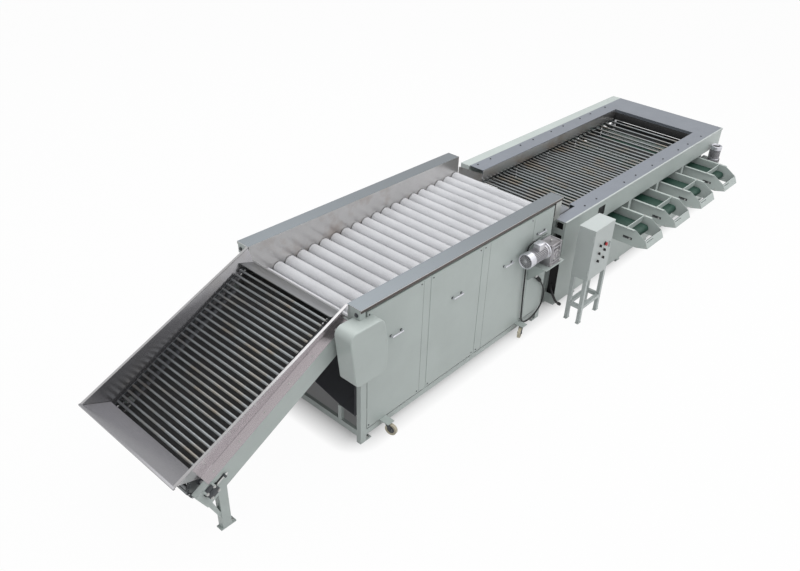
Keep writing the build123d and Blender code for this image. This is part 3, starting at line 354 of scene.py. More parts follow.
def rod(finish, start, end, radius, sides=28, edge=0.0):
    """A round or many-sided rod between two points in millimetres."""
    clear()
    a, b = at(*start), at(*end)
    turn = (b - a).to_track_quat("Z", "Y").to_euler()
    bpy.ops.mesh.primitive_cylinder_add(
        vertices=sides, radius=radius / METRE, depth=(b - a).length, location=(a + b) / 2, rotation=turn)
    piece = settle(bpy.context.object)
    if edge:
        soften(piece, edge)
    else:
        bpy.ops.object.shade_smooth_by_angle(angle=SMOOTH_ANGLE)
    return coat(piece, finish)


def pushed_out(points, depth, fill):
    """A closed line, or a face, through points in millimetres, pushed out along a vector."""
    clear()
    bpy.ops.mesh.primitive_circle_add(vertices=len(points), radius=1, fill_type=fill)
    piece = bpy.context.object
    for vertex, point in zip(piece.data.vertices, points):
        vertex.co = at(*point)
    move = {"value": Vector(depth) / METRE}
    with editing(piece):
        if fill == "NGON":
            bpy.ops.mesh.extrude_region_move(TRANSFORM_OT_translate=move)
        else:
            bpy.ops.mesh.extrude_edges_move(TRANSFORM_OT_translate=move)
        bpy.ops.mesh.select_all(action="SELECT")
        bpy.ops.mesh.normals_make_consistent(inside=False)
    return piece


def outline(finish, points, depth, edge=0.0, segments=3):
    """A plate from corner points, pushed out along a vector, with rounded edges."""
    piece = pushed_out(points, depth, "NGON")
    return coat(soften(piece, edge, segments) if edge else piece, finish)


def band(finish, points, width, thick):
    """A closed strip along points, with a width in Y and a thickness."""
    piece = pushed_out(points, (0, width, 0), "NOTHING")
    return coat(shaped(piece, "SOLIDIFY", thickness=thick / METRE, offset=-1), finish)


def join(pieces):
    """One piece from several."""
    clear()
    for piece in pieces:
        piece.select_set(True)
    bpy.context.view_layer.objects.active = pieces[0]
    if len(pieces) > 1:
        bpy.ops.object.join()
    return pieces[0]


def copied(piece, place):
    """A copy with its own mesh, put in place by a matrix."""
    only(piece)
    bpy.ops.object.duplicate()
    other = bpy.context.object
    other.matrix_world = place
    return settle(other)


def shifted(piece, shift):
    """A copy moved by millimetres."""
    return copied(piece, Matrix.Translation(Vector(shift) / METRE))


def carried(start, end, turn, axis):
    """The matrix that turns a piece about a point and carries that point to another."""
    return Matrix.Translation(end) @ Matrix.Rotation(turn, 4, axis) @ Matrix.Translation(-start)


def dress(name, pieces, body="machine", stands_for=None):
    """Joins pieces into a finished one, with its name, its body and what it stands for."""
    piece = join(pieces)
    piece.name = name
    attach(piece, body)
    if stands_for:
        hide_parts(stands_for)


def press(piece, way, margin, depth):
    """Insets the outermost faces that look a way, and pushes them along their normal."""
    way = Vector(way)
    reach = max(face.center.dot(way) for face in piece.data.polygons) - 1 / METRE

    def outermost(face):
        return face.normal.dot(way) > FACING and face.center.dot(way) > reach

    with editing(piece, outermost, "FACE"):
        bpy.ops.mesh.inset(thickness=margin / METRE)
        bpy.ops.mesh.extrude_region_shrink_fatten(TRANSFORM_OT_shrink_fatten={"value": depth / METRE})
    return piece


def spun(piece, count, centre, axis):
    """A piece repeated round an axis through a point in millimetres."""
    turn = 2 * math.pi / count * (count - 1)
    with editing(piece):
        bpy.ops.mesh.spin(steps=count - 1, dupli=True, angle=turn, center=at(*centre), axis=axis)
    return piece


def bolts(finish, places, way, size):
    """Hexagon heads on washers, modelled once and copied to each place; the way is where they point."""
    way, start = Vector(way), Vector(places[0])
    washer = rod(finish, start, start + way * size * BOLT_WASHER_TOP, size * BOLT_WASHER, 16)
    ends = [start + way * size * share for share in BOLT_HEAD]
    head = rod(finish, *ends, size, 6, size * BOLT_EDGE)
    first = join([washer, head])
    return join([first] + [shifted(first, Vector(place) - start) for place in places[1:]])


def chain_wheel(axis, y, tip):
    """A small toothed wheel on a shaft that lies across the machine."""
    steps = TEETH * len(TOOTH)
    spots = [on_circle(axis, tip * TOOTH[i % len(TOOTH)], 2 * math.pi * i / steps) for i in range(steps)]
    return outline("steel", [(x, y[0], z) for x, z in spots], (0, y[1] - y[0], 0), 0.8, 1)


class Nodes:
    """The nodes of a material or a world, with short ways to add and link them."""

    def __init__(self, owner):
        owner.use_nodes = True
        self.tree = owner.node_tree

    def named(self, name):
        return self.tree.nodes[name]

    def feed(self, node, inputs):
        """Sets a node's inputs to values, or links them to other nodes' outputs."""
        for key, value in inputs.items():
            if isinstance(value, bpy.types.NodeSocket):
                self.tree.links.new(value, node.inputs[key])
            else:
                node.inputs[key].default_value = value

    def add(self, kind, inputs=None, output=0, **values):
        """An output of a new node."""
        node = self.tree.nodes.new(f"ShaderNode{kind}")
        for name, value in values.items():
            setattr(node, name, value)
        self.feed(node, inputs or {})
        return node.outputs[output]

    def surface(self, **inputs):
        """Sets or links the shader's inputs, named with _ for a space."""
        shader = self.named("Principled BSDF")
        self.feed(shader, {key.replace("_", " "): value for key, value in inputs.items()})

    def noise(self, scale, stretch=(1, 1, 1), detail=4, rough=0.6):
        """Noise on object coordinates, stretched along an axis."""
        place = self.add("TexCoord", output="Object")
        place = self.add("Mapping", {"Vector": place, "Scale": stretch})
        return self.add("TexNoise", {"Vector": place, "Scale": scale, "Detail": detail, "Roughness": rough})

    def ramp(self, factor, stops):
        """Colours along a factor."""
        colours = self.add("ValToRGB", {"Fac": factor})
        elements = colours.node.color_ramp.elements
        while len(elements) < len(stops):
            elements.new(0.5)
        for element, (place, colour) in zip(elements, stops):
            element.position = place
            element.color = (*colour, 1)
        return colours

    def spread(self, factor, low, high, start=0.0, end=1.0):
        """A number that runs between two values along a factor."""
        inputs = {"Value": factor, "From Min": start, "From Max": end, "To Min": low, "To Max": high}
        return self.add("MapRange", inputs)

    def bump(self, height, strength, distance):
        return self.add("Bump", {"Height": height, "Strength": strength, "Distance": distance})

    def number(self, operation, first, second):
        """A number worked out from two others."""
        return self.add("Math", {0: first, 1: second}, operation=operation)

    def mixed(self, factor, first, second):
        """A number between two others."""
        return self.add("Mix", {"Factor": factor, "A": first, "B": second}, data_type="FLOAT")

    def tinged(self, factor, base, colour):
        """Goes from a pattern's colour to a plain one along a factor."""
        return self.add("Mix", {"Factor": factor, 6: base, 7: (*colour, 1)}, 2, data_type="RGBA")


def tint(colour, factor):
    return tuple(min(1.0, channel * factor) for channel in colour)


def paint(nodes, colour, gloss=0.42):
    """Sprayed paint: faint clouding, fine orange peel, and dust that dulls it unevenly."""
    stops = [(0.25, tint(colour, 0.93)), (0.55, colour), (0.8, tint(colour, 1.05))]
    nodes.surface(
        Base_Color=nodes.ramp(nodes.noise(2.2, detail=5), stops),
        Roughness=nodes.spread(nodes.noise(26, detail=3), gloss - 0.08, gloss + 0.12),
        Normal=nodes.bump(nodes.noise(420, detail=2), 0.10, 0.0006),
        Coat_Weight=0.12, Coat_Roughness=0.25)


def metal(nodes, colour, grain, rough=0.34, metallic=1.0, contrast=0.16, stain=None, facing=(), grit=0.03):
    """Rolled or ground metal: long grain, blotches of wear, and painted light and shade as other colours by
    how far up faces look.
    """
    lines = nodes.noise(60, grain, detail=6, rough=0.7)
    tone = nodes.mixed(0.4, lines, nodes.noise(5))
    stops = [(0.3, tint(colour, 1 - contrast)), (0.5, colour), (0.72, tint(colour, 1 + contrast))]
    base = nodes.ramp(tone, stops)
    if stain:
        dirt = nodes.spread(nodes.noise(3.4, detail=5), 0.0, 0.75, 0.5, 0.68)
        base = nodes.tinged(dirt, base, stain)
    # Painted light and shade: each face's colour is set by how far up it looks
    for other, start, end in facing:
        normal = nodes.add("NewGeometry", output="Normal")
        level = nodes.add("SeparateXYZ", {"Vector": normal}, "Z")
        base = nodes.tinged(nodes.spread(level, 0.0, 1.0, start, end), base, other)
    nodes.surface(
        Base_Color=base, Metallic=metallic, Normal=nodes.bump(lines, grit, 0.0004),
        Roughness=nodes.spread(tone, rough + 0.05, rough - 0.04, 0.3, 0.7))


def plastic(nodes, colour, rough=0.45):
    """Moulded plastic or rubber with a fine grain."""
    cloud = nodes.noise(9)
    nodes.surface(
        Base_Color=nodes.ramp(cloud, [(0.3, tint(colour, 0.86)), (0.7, tint(colour, 1.12))]),
        Roughness=nodes.spread(cloud, rough + 0.1, rough - 0.05),
        Normal=nodes.bump(nodes.noise(300, detail=2), 0.08, 0.0006))


def bristle(nodes, colour):
    """Dense nylon pile: fine tufts with painted shade in the hollows between them, with a soft sheen."""
    tufts = nodes.noise(150, (1, 0.8, 1), detail=3, rough=0.75)
    # Darker where the tufts sink: painted shade between the tufts, mixed with tone that differs at random
    tone = nodes.mixed(0.45, tufts, nodes.noise(4, (1, 0.6, 1), detail=3))
    stops = [(0.28, tint(colour, 0.80)), (0.5, colour), (0.7, tint(colour, 1.10))]
    nodes.surface(
        Base_Color=nodes.ramp(tone, stops), Normal=nodes.bump(tufts, 0.55, 0.002),
        Roughness=0.78, Sheen_Weight=0.25, Sheen_Roughness=0.5)


def belting(nodes, colour):
    """Coated belt: a fine woven impression and scuffs along the travel."""
    place = nodes.add("TexCoord", output="Object")
    weave = nodes.add("TexChecker", {"Vector": place, "Scale": 260}, "Fac")
    scuff = nodes.noise(16, (1, 0.12, 1), detail=5)
    stops = [(0.3, tint(colour, 0.75)), (0.55, colour), (0.8, tint(colour, 1.7))]
    nodes.surface(
        Base_Color=nodes.ramp(scuff, stops), Normal=nodes.bump(weave, 0.12, 0.0006),
        Roughness=nodes.spread(scuff, 0.62, 0.42))


# Each finish: its maker, its material's name, its colour or that setting's name, and the maker's values
FINISHES = {
    "paint": (paint, "pale_paint", "paint"),
    "case": (paint, "case_paint", (0.47, 0.51, 0.50)),
    # Dark tray paint, also used as painted shade on the inner sheets and the spout floor
    "tray": (paint, "dark_tray", (0.11, 0.113, 0.125), 0.5),
    # Near-black paint for sheets that stand in for the shade inside the machine
    "painted_shade": (paint, "dark_inside", (0.014, 0.014, 0.015), 0.7),
    # Dark brown for the trough's lip: painted shade under it and a painted reflection on its face
    "brown": (paint, "brown_steel", (0.060, 0.046, 0.040), 0.4),
    "seam": (paint, "seam_shadow", (0.22, 0.24, 0.235), 0.6),
    "iron": (paint, "dark_iron", (0.05, 0.055, 0.06), 0.55),
    "casting": (paint, "dark_casting", (0.15, 0.145, 0.155), 0.38),
    # The trough's faces that look up are tinted a darker blue-grey: painted shade and reflection on the
    # flange tops
    "trough": (metal, "trough_sheet", "stainless", (0.25, 8, 8), 0.30, 0.95, 0.10, (0.50, 0.44, 0.40),
               [((0.182, 0.202, 0.218), 0.7, 0.97)], 0.01),
    # The hopper's downward faces are painted lighter as a painted reflection, and its upward faces lighter
    # or darker in bands by slope as painted light and shade
    "hopper": (metal, "hopper_sheet", (0.31, 0.307, 0.32), (0.3, 3, 0.3), 0.17, 0.85, 0.05,
               (0.26, 0.25, 0.245),
               [((0.74, 0.71, 0.73), -0.05, -0.2), ((0.57, 0.54, 0.545), 0.8, 0.87),
                ((0.42, 0.415, 0.42), 0.89, 0.91), ((0.26, 0.258, 0.27), 0.925, 0.94)], 0.002),
    "deck": (metal, "deck_sheet", (0.225, 0.245, 0.28), (0.25, 8, 8), 0.38, 0.85, 0.08),
    "bar": (metal, "worn_bars", "bars", (6, 0.3, 6), 0.24, 0.9, 0.3, (0.17, 0.14, 0.105)),
    "plate": (metal, "dull_plate", (0.15, 0.153, 0.158), (8, 0.25, 8), 0.34, 0.9, 0.12),
    "steel": (metal, "ground_steel", (0.42, 0.42, 0.43), (4, 4, 4), 0.30),
    "zinc": (metal, "zinc_plate", (0.55, 0.55, 0.54), (3, 3, 3), 0.33),
    "silver": (metal, "silver_cowl", "motor", (2, 5, 5), 0.30, 0.8, 0.06),
    "alloy": (metal, "cast_alloy", (0.58, 0.575, 0.60), (3, 3, 3), 0.36, 0.7, 0.12),
    "gear": (metal, "gear_case", (0.34, 0.33, 0.345), (3, 3, 3), 0.36, 0.6, 0.3, (0.13, 0.12, 0.12)),
    "bristle": (bristle, "nylon_pile", "bristle"),
    "belt": (belting, "green_belt", "belt"),
    "red": (plastic, "red_button", (0.45, 0.012, 0.015), 0.3),
    # Black plastic, also used for plates of painted shade in slots and behind the window
    "black": (plastic, "black_plastic", (0.012, 0.012, 0.013), 0.4),
    "rubber": (plastic, "black_rubber", (0.010, 0.010, 0.011), 0.5),
    "cream": (plastic, "cream_wheel", (0.55, 0.50, 0.38), 0.45),
}
# The solids that stay in sight and aren't painted
NODE_FINISH = {
    "washer_trough": "trough", "infeed_hopper": "hopper", "grader_deck": "deck", "inner_sheets": "tray",
    "brush_bearings": "iron", "outfeed_belts": "belt", "outfeed_head_drums": "steel",
    "outfeed_tail_drums": "steel", "control_cabinet": "case", "control_door": "case",
}


def material_of(finish):
    """The material of a finish, made when it is first asked for."""
    make, name, colour, *values = FINISHES[finish]
    material = bpy.data.materials.get(name)
    if not material:
        if isinstance(colour, str):
            colour = tuple(getattr(bpy.context.scene.washer_grader_finish, colour))
        material = bpy.data.materials.new(name)
        make(Nodes(material), colour, *values)
    return material


class WASHER_OT_finishes(bpy.types.Operator):
    """Gives each carried-over solid its finish"""

    bl_idname = "washer.finishes"
    bl_label = "Finishes"

    def execute(self, context):
        for name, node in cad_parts.items():
            coat(node, NODE_FINISH.get(name, "paint"))
        return {"FINISHED"}


class WASHER_OT_stage(bpy.types.Operator):
    """Sets up the floor, soft light and camera"""

    bl_idname = "washer.stage"
    bl_label = "Stage"

    def seen(self, nodes):
        """One for what the camera sees, straight, in a reflection or through glass."""
        rays = nodes.add("LightPath").node.outputs
        glossy = nodes.number("MAXIMUM", rays["Is Camera Ray"], rays["Is Glossy Ray"])
        return nodes.number("MAXIMUM", glossy, rays["Is Transmission Ray"])

    def beside_machine(self, nodes):
        """Little under the washer and grader, rising to one on the open floor."""
        away = nodes.add("TexCoord", output="Object")
        for step, value in (("SUBTRACT", SHADOW_MIDDLE), ("ABSOLUTE", None),
                            ("SUBTRACT", SHADOW_HALF), ("MAXIMUM", (0.0, 0.0, 0.0))):
            inputs = {0: away, 1: value} if value else {0: away}
            away = nodes.add("VectorMath", inputs, operation=step)
        reach = nodes.add("VectorMath", {0: away}, "Value", operation="LENGTH")
        return nodes.spread(reach, SHADOW_LEAST, 1.0, 0.0, SHADOW_FADE)

    def floor(self, context):
        """A wide pale floor that shows white away from the machine and keeps its shadow."""
        clear()
        bpy.ops.mesh.primitive_plane_add(size=FLOOR_SIZE, location=(0, 0, FLOOR_LEVEL))
        floor = settle(context.object)
        floor.name = "studio_floor"
        material = bpy.data.materials.new("studio_floor")
        nodes = Nodes(material)
        nodes.surface(Base_Color=(0.7, 0.7, 0.7, 1), Roughness=0.9, Specular_IOR_Level=0.0)
        share = nodes.number("MULTIPLY", self.seen(nodes), self.beside_machine(nodes))
        share = nodes.number("MULTIPLY", share, FLOOR_WHITE)
        lit = nodes.named("Principled BSDF").outputs["BSDF"]
        blend = nodes.add("MixShader", {0: share, 1: lit, 2: nodes.add("Emission")})
        nodes.feed(nodes.named("Material Output"), {"Surface": blend})
        floor.data.materials.append(material)

    def light(self, context, stage):
        """Even studio light with four soft lamps, and white behind the machine."""
        world = bpy.data.worlds.new("studio")
        context.scene.world = world
        nodes = Nodes(world)
        even = nodes.named("Background")
        nodes.feed(even, {"Color": (0.97, 0.985, 1.0, 1), "Strength": stage.fill})
        plain = nodes.add("Background", {"Color": (1, 1, 1, 1), "Strength": 1.0})
        blend = nodes.add("MixShader", {0: self.seen(nodes), 1: even.outputs["Background"], 2: plain})
        nodes.feed(nodes.named("World Output"), {"Surface": blend})
        for name, place, size, share in LAMPS:
            clear()
            bpy.ops.object.light_add(type="AREA", location=place)
            lamp = context.object
            lamp.name = name
            lamp.data.size = size
            lamp.data.energy = stage.key * share
            lamp.rotation_euler = (LAMP_TARGET - Vector(place)).to_track_quat("-Z", "Y").to_euler()

    def camera(self, context, stage):
        """A camera at the photograph's place and angle."""
        clear()
        bpy.ops.object.camera_add(location=CAMERA_PLACE)
        camera = context.object
        forward = Vector(CAMERA_FORWARD).normalized()
        up = Vector(CAMERA_RIGHT).cross(forward).normalized()
        right = forward.cross(up).normalized()
        camera.rotation_euler = Matrix((right, up, -forward)).transposed().to_euler()
        camera.data.sensor_width = SENSOR_WIDTH
        camera.data.lens = stage.lens
        camera.data.shift_x, camera.data.shift_y = CAMERA_SHIFT
        context.scene.camera = camera

    def execute(self, context):
        stage = context.scene.washer_grader_stage
        self.floor(context)
        self.light(context, stage)
        self.camera(context, stage)
        context.scene.view_settings.view_transform = "Standard"
        return {"FINISHED"}


class WASHER_OT_cable(bpy.types.Operator):
    """Runs the motor cable down the panel and up into its sleeve, and bends the grader's conduit"""

    bl_idname = "washer.cable"
    bl_label = "Motor cable and conduit"

    def line(self, context, name, route, radius):
        """A round rubber line along points in millimetres."""
        clear()
        curve = bpy.data.curves.new(name, "CURVE")
        curve.dimensions = "3D"
        spline = curve.splines.new("NURBS")
        spline.points.add(len(route) - 1)
        for point, place in zip(spline.points, route):
            point.co = (*at(*place), 1)
        spline.order_u = 3
        spline.use_endpoint_u = True
        spline.resolution_u = 8
        curve.bevel_depth = radius / METRE
        curve.bevel_resolution = 4
        curve.use_fill_caps = True
        line = bpy.data.objects.new(name, curve)
        context.scene.collection.objects.link(line)
        return coat(line, "rubber")

    def conduit(self, context):
        """A stiff black conduit out of the grader's end, bent round its corner down to a plug."""
        only(self.line(context, "pipe", CONDUIT_ROUTE, CONDUIT_RADIUS))
        bpy.ops.object.convert(target="MESH")
        pipe = context.object
        bpy.ops.object.shade_smooth_by_angle(angle=SMOOTH_ANGLE)
        end = Vector(CONDUIT_ROUTE[-1])
        way = (end - Vector(CONDUIT_ROUTE[-2])).normalized()
        plug = rod("rubber", end - way * 4, end + way * 34, 19, 24, 3)
        dress("grader_conduit", [pipe, plug])

    def execute(self, context):
        self.conduit(context)
        cable = self.line(context, "motor_cable_line", CABLE_ROUTE, CABLE_RADIUS)
        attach(cable, "machine")
        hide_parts("motor_cable")
        low, high = Vector(CABLE_ROUTE[-1]), Vector(SLEEVE_TOP)
        step = (high - low) / 10
        sleeve = [rod("rubber", low, high, 18, 24, 2)]
        sleeve += [rod("rubber", low + step * i, low + step * (i + 0.4), 20.5, 24, 1) for i in range(1, 10)]
        dress("cable_sleeve", sleeve)
        dress("cable_clamp", [box("zinc", (2515, -44, 634), (2551, -0.6, 668), 3)])
        return {"FINISHED"}


class WASHER_OT_brushes(bpy.types.Operator):
    """Models one brush with its pile, strands, shaft and chain wheel, and copies it along the bed"""

    bl_idname = "washer.brushes"
    bl_label = "Brushes"

    def pile(self, brush):
        """A line of points spun into a dense roll with a soft, uneven face."""
        clear()
        x, z = BRUSH_FIRST
        bpy.ops.mesh.primitive_grid_add(x_subdivisions=1, y_subdivisions=PILE_SLICES, size=1)
        roll = bpy.context.object
        roll.scale = (2 * PILE_INSET / METRE, (PILE_Y[1] - PILE_Y[0]) / METRE, 1)
        roll.location = at(x, sum(PILE_Y) / 2, z) + Vector((brush.core, 0, 0))
        settle(roll)
        rim = at(x, 0, 0).x + brush.core
        with editing(roll, lambda point: point.co.x > rim):
            bpy.ops.mesh.delete(type="VERT")
            bpy.ops.mesh.select_all(action="SELECT")
            bpy.ops.mesh.spin(steps=PILE_SIDES, angle=2 * math.pi, center=at(x, 0, z), axis=ACROSS)
            bpy.ops.mesh.select_all(action="SELECT")
            bpy.ops.mesh.remove_doubles(threshold=0.00005)
            bpy.ops.mesh.normals_make_consistent(inside=False)
        tufts = bpy.data.textures.new("tufts", "CLOUDS")
        tufts.noise_scale = 0.012
        tufts.noise_depth = 2
        shaped(roll, "DISPLACE", texture=tufts, texture_coords="LOCAL", strength=0.0034, mid_level=0.5)
        bpy.ops.object.shade_smooth()
        return coat(roll, "bristle")

    def strands(self, brush):
        """Loose strands in rings, each ring turned a little from the last."""
        clear()
        x, z = BRUSH_FIRST
        first = (x, PILE_Y[0] + STRAND_MARGIN, z)
        place = at(*first)
        reach = brush.tips - brush.core + 0.003
        bpy.ops.mesh.primitive_cone_add(
            vertices=3, radius1=0.0016, radius2=0.0004, depth=reach,
            location=place + Vector((brush.tips - reach / 2, 0, 0)), rotation=(0, math.pi / 2, 0))
        rings = [spun(settle(bpy.context.object), brush.strands, first, ACROSS)]
        gap = (PILE_Y[1] - PILE_Y[0] - 2 * STRAND_MARGIN) / (brush.rings - 1)
        for ring in range(1, brush.rings):
            end = place + Vector((0, ring * gap / METRE, 0))
            rings.append(copied(rings[0], carried(place, end, ring * STRAND_TURN, "Y")))
        return coat(join(rings), "bristle")

    def execute(self, context):
        brush = context.scene.washer_grader_brush
        x, z = BRUSH_FIRST
        wheel = chain_wheel(BRUSH_FIRST, BRUSH_WHEEL_Y, BRUSH_WHEEL)
        parts = [self.pile(brush), self.strands(brush), wheel]
        for y in PILE_Y:
            parts.append(rod("bristle", (x, y - 1.5, z), (x, y + 1.5, z), PILE_END, 40, 1))
        roll = join(parts)
        for number in range(BRUSH_COUNT, 0, -1):
            first = number == 1
            dx, dz = (step * (number - 1) for step in BRUSH_STEP)
            near, far = BRUSH_SHAFT_Y
            ends = [(x + dx, y, z + dz) for y in (DRIVE_SHAFT_NEAR if first else near, far)]
            pieces = [roll if first else shifted(roll, (dx, 0, dz)), rod("steel", *ends, BRUSH_SHAFT, 6)]
            if first:
                pieces.append(chain_wheel(BRUSH_FIRST, DRIVE_WHEEL_Y, DRIVE_WHEEL))
            body = f"brush_{number:02d}"
            dress(f"brush_roll_{number:02d}", pieces, body, body)
        return {"FINISHED"}


class WASHER_OT_washer_motor(bpy.types.Operator):
    """Models the washer's gearmotor: vented cowl, finned body, terminal box and gearbox"""

    bl_idname = "washer.washer_motor"
    bl_label = "Washer gearmotor"

    def along(self, finish, start, end, radius, sides=48, edge=0.0):
        """A round part on the motor's axis."""
        return rod(finish, (start, *MOTOR_AXIS), (end, *MOTOR_AXIS), radius, sides, edge)

    def round_ribs(self, count, x, z, half):
        """Thin ribs round the motor's axis, between two places in X and two radii."""
        y, middle = MOTOR_AXIS
        rib = box("alloy", (x[0], y - half, middle + z[0]), (x[1], y + half, middle + z[1]), 0)
        return spun(rib, count, (x[0], y, middle), ALONG)

    def cowl(self):
        """The fan's cowl with its grille, ribs and hub."""
        shell = press(self.along("silver", 2150, 2234, 80), TO_INFEED, 11, -7)
        grille = self.along("casting", 2156.5, 2159, 70)
        ribs = self.round_ribs(20, (2153, 2157), (14, 66), 1.6)
        hub = self.along("alloy", 2152.5, 2158, 15, 24, 2)
        return [soften(shell, 5, 3), grille, ribs, hub]

    def body(self):
        """The finned body with its end bell, and the bolted flange and neck before the gearbox."""
        y, z = MOTOR_AXIS
        core = self.along("casting", 2234, 2466, 65)
        fins = self.round_ribs(30, (2238, 2456), (62, 75), 1.7)
        bell = self.along("alloy", 2446, 2470, 74, 48, 3)
        flange = self.along("silver", 2468, 2484, 88, 56, 2.5)
        neck = self.along("casting", 2484, 2500.5, 79, 48, 2)
        ring = spun(bolts("zinc", [(2468, y, z + 80)], TO_INFEED, 6), 8, (2468, y, z), ALONG)
        return [core, fins, bell, flange, neck, ring]

    def terminal_box(self):
        """The box that the cable leaves, with its lid, screws and gland."""
        base = box("alloy", (2313, -157, 1070), (2412, -79, 1128), 5)
        lid = box("silver", (2309, -161, 1128.5), (2416, -75, 1146), 6)
        screws = bolts("zinc", [(x, y, 1146) for x in (2319, 2406) for y in (-151, -85)], UP, 3.5)
        stem = rod("black", (2421, -80, 1122), (2421, -60, 1122), 13, 6, 1.5)
        gland = rod("black", (2430, -71.5, 1122), (2396, -59.5, 1122), 13, 24, 2.5)
        return [base, lid, screws, stem, gland]

    def gearbox(self):
        """The gear case on its foot, with covers, ribs, bolts and breather."""
        x, y, z, end_z = 2594, MOTOR_AXIS[0], 948, 960
        case = box("gear", (2500.5, -188, 836.5), (2688, -32, 1076), 0)
        for way, margin, depth in ((UP, 16, -9), (TO_FRONT, 20, -7), (ALONG, 20, -7)):
            press(case, way, margin, depth)
        foot = box("gear", (2496, -198, 836), (2696, -22, 852), 3)
        cover = rod("gear", (x, -180, z), (x, -196, z), 64, 40, 3)
        cap = rod("gear", (x, -195, z), (x, -204, z), 30, 32, 3)
        end_cover = rod("gear", (2680, y, end_z), (2695, y, end_z), 56, 40, 3)
        ribs = [box("alloy", (left, -192, 856), (left + 7, -182, 1062), 2) for left in (2526, 2655)]
        ribs += [box("alloy", (2520, -192, low), (2668, -182, low + 7), 2) for low in (872, 1034)]
        ring = spun(bolts("zinc", [(x, -196, z + 52)], TO_FRONT, 5.5), 6, (x, -196, z), ACROSS)
        end_ring = spun(bolts("zinc", [(2695, y, end_z + 46)], ALONG, 5.5), 6, (2695, y, end_z), ALONG)
        corners = [(foot_x, foot_y, 852) for foot_x in (2516, 2676) for foot_y in (-192, -28)]
        breather = rod("zinc", (x, y, 1064), (x, y, 1086), 11, 6, 2)
        return [soften(case, 6, 3), foot, cover, cap, end_cover, *ribs, ring, end_ring,
                bolts("zinc", corners, UP, 8), breather]

    def execute(self, context):
        pieces = self.cowl() + self.body() + self.terminal_box() + self.gearbox()
        dress("washer_gearmotor", pieces, "machine", "gearmotors")
        return {"FINISHED"}


class WASHER_OT_grader_motor(bpy.types.Operator):
    """Models the grader's upright gearmotor, and the drive chains"""

    bl_idname = "washer.grader_motor"
    bl_label = "Grader gearmotor and chains"

    def motor(self):
        """The upright motor on its gear case, with fins, cowl, fan and terminal box."""
        x, y, z = GRADER_HEAD, -115, GRADER_AXIS

        def upright(finish, low, high, radius, edge=0.0):
            return rod(finish, (x, y, low), (x, y, high), radius, 40, edge)

        case = press(box("casting", (x - 69, y - 64, z - 74), (x + 69, -41, z + 61), 0), TO_FRONT, 14, -6)
        cover = rod("casting", (x, y - 56, z), (x, y - 70, z), 46, 36, 3)
        ring = spun(bolts("zinc", [(x, y - 70, z + 36)], TO_FRONT, 5), 6, (x, y - 70, z), ACROSS)
        flange = upright("silver", z + 60, 770, 66, 3)
        core = upright("casting", 768, 902, 60)
        fins = spun(box("alloy", (x - 1.7, y - 70, 776), (x + 1.7, y - 57, 894), 0), 28, (x, y, 800), UP)
        cowl = press(upright("silver", 892, 945, 75), UP, 16, -14)
        fan = upright("black", 928, 932.5, 50, 2)
        terminals = box("alloy", (x + 52, y - 40, 800), (x + 96, y + 40, 880), 6)
        return [soften(case, 6, 3), cover, ring, flange, core, fins, soften(cowl, 5, 3), fan, terminals]

    def chain(self, start, end, y, radius):
        """A roller chain round two wheels, with its links standing out along the strip."""
        slant = math.atan2(end[1] - start[1], end[0] - start[0])
        length = math.hypot(end[0] - start[0], end[1] - start[1])
        runs = max(2, 2 * round(length / CHAIN_PITCH))
        turns = max(6, 2 * round(math.pi * radius / CHAIN_PITCH))
        spots = []
        for side, (wheel, other) in ((1, (end, start)), (-1, (start, end))):
            for step in range(runs):
                middle = [b + (a - b) * (step / runs) for a, b in zip(wheel, other)]
                lift = radius + CHAIN_RISE * (step % 2)
                spots.append(on_circle(middle, lift, slant + side * math.pi / 2))
            for step in range(turns):
                lift = radius + CHAIN_RISE * (step % 2)
                spots.append(on_circle(wheel, lift, slant + side * (math.pi / 2 - math.pi * step / turns)))
        return band("iron", [(x, y, z) for x, z in spots], 8, 6)

    def execute(self, context):
        dress("grader_gearmotor", self.motor())
        last = [a + b * (BRUSH_COUNT - 1) for a, b in zip(BRUSH_FIRST, BRUSH_STEP)]
        head = on_slope(INFEED_HEAD, INFEED_AXIS)
        chains = [self.chain(BRUSH_FIRST, last, 82, 52), self.chain(head, BRUSH_FIRST, -60, 28)]
        dress("drive_chains", chains)
        return {"FINISHED"}


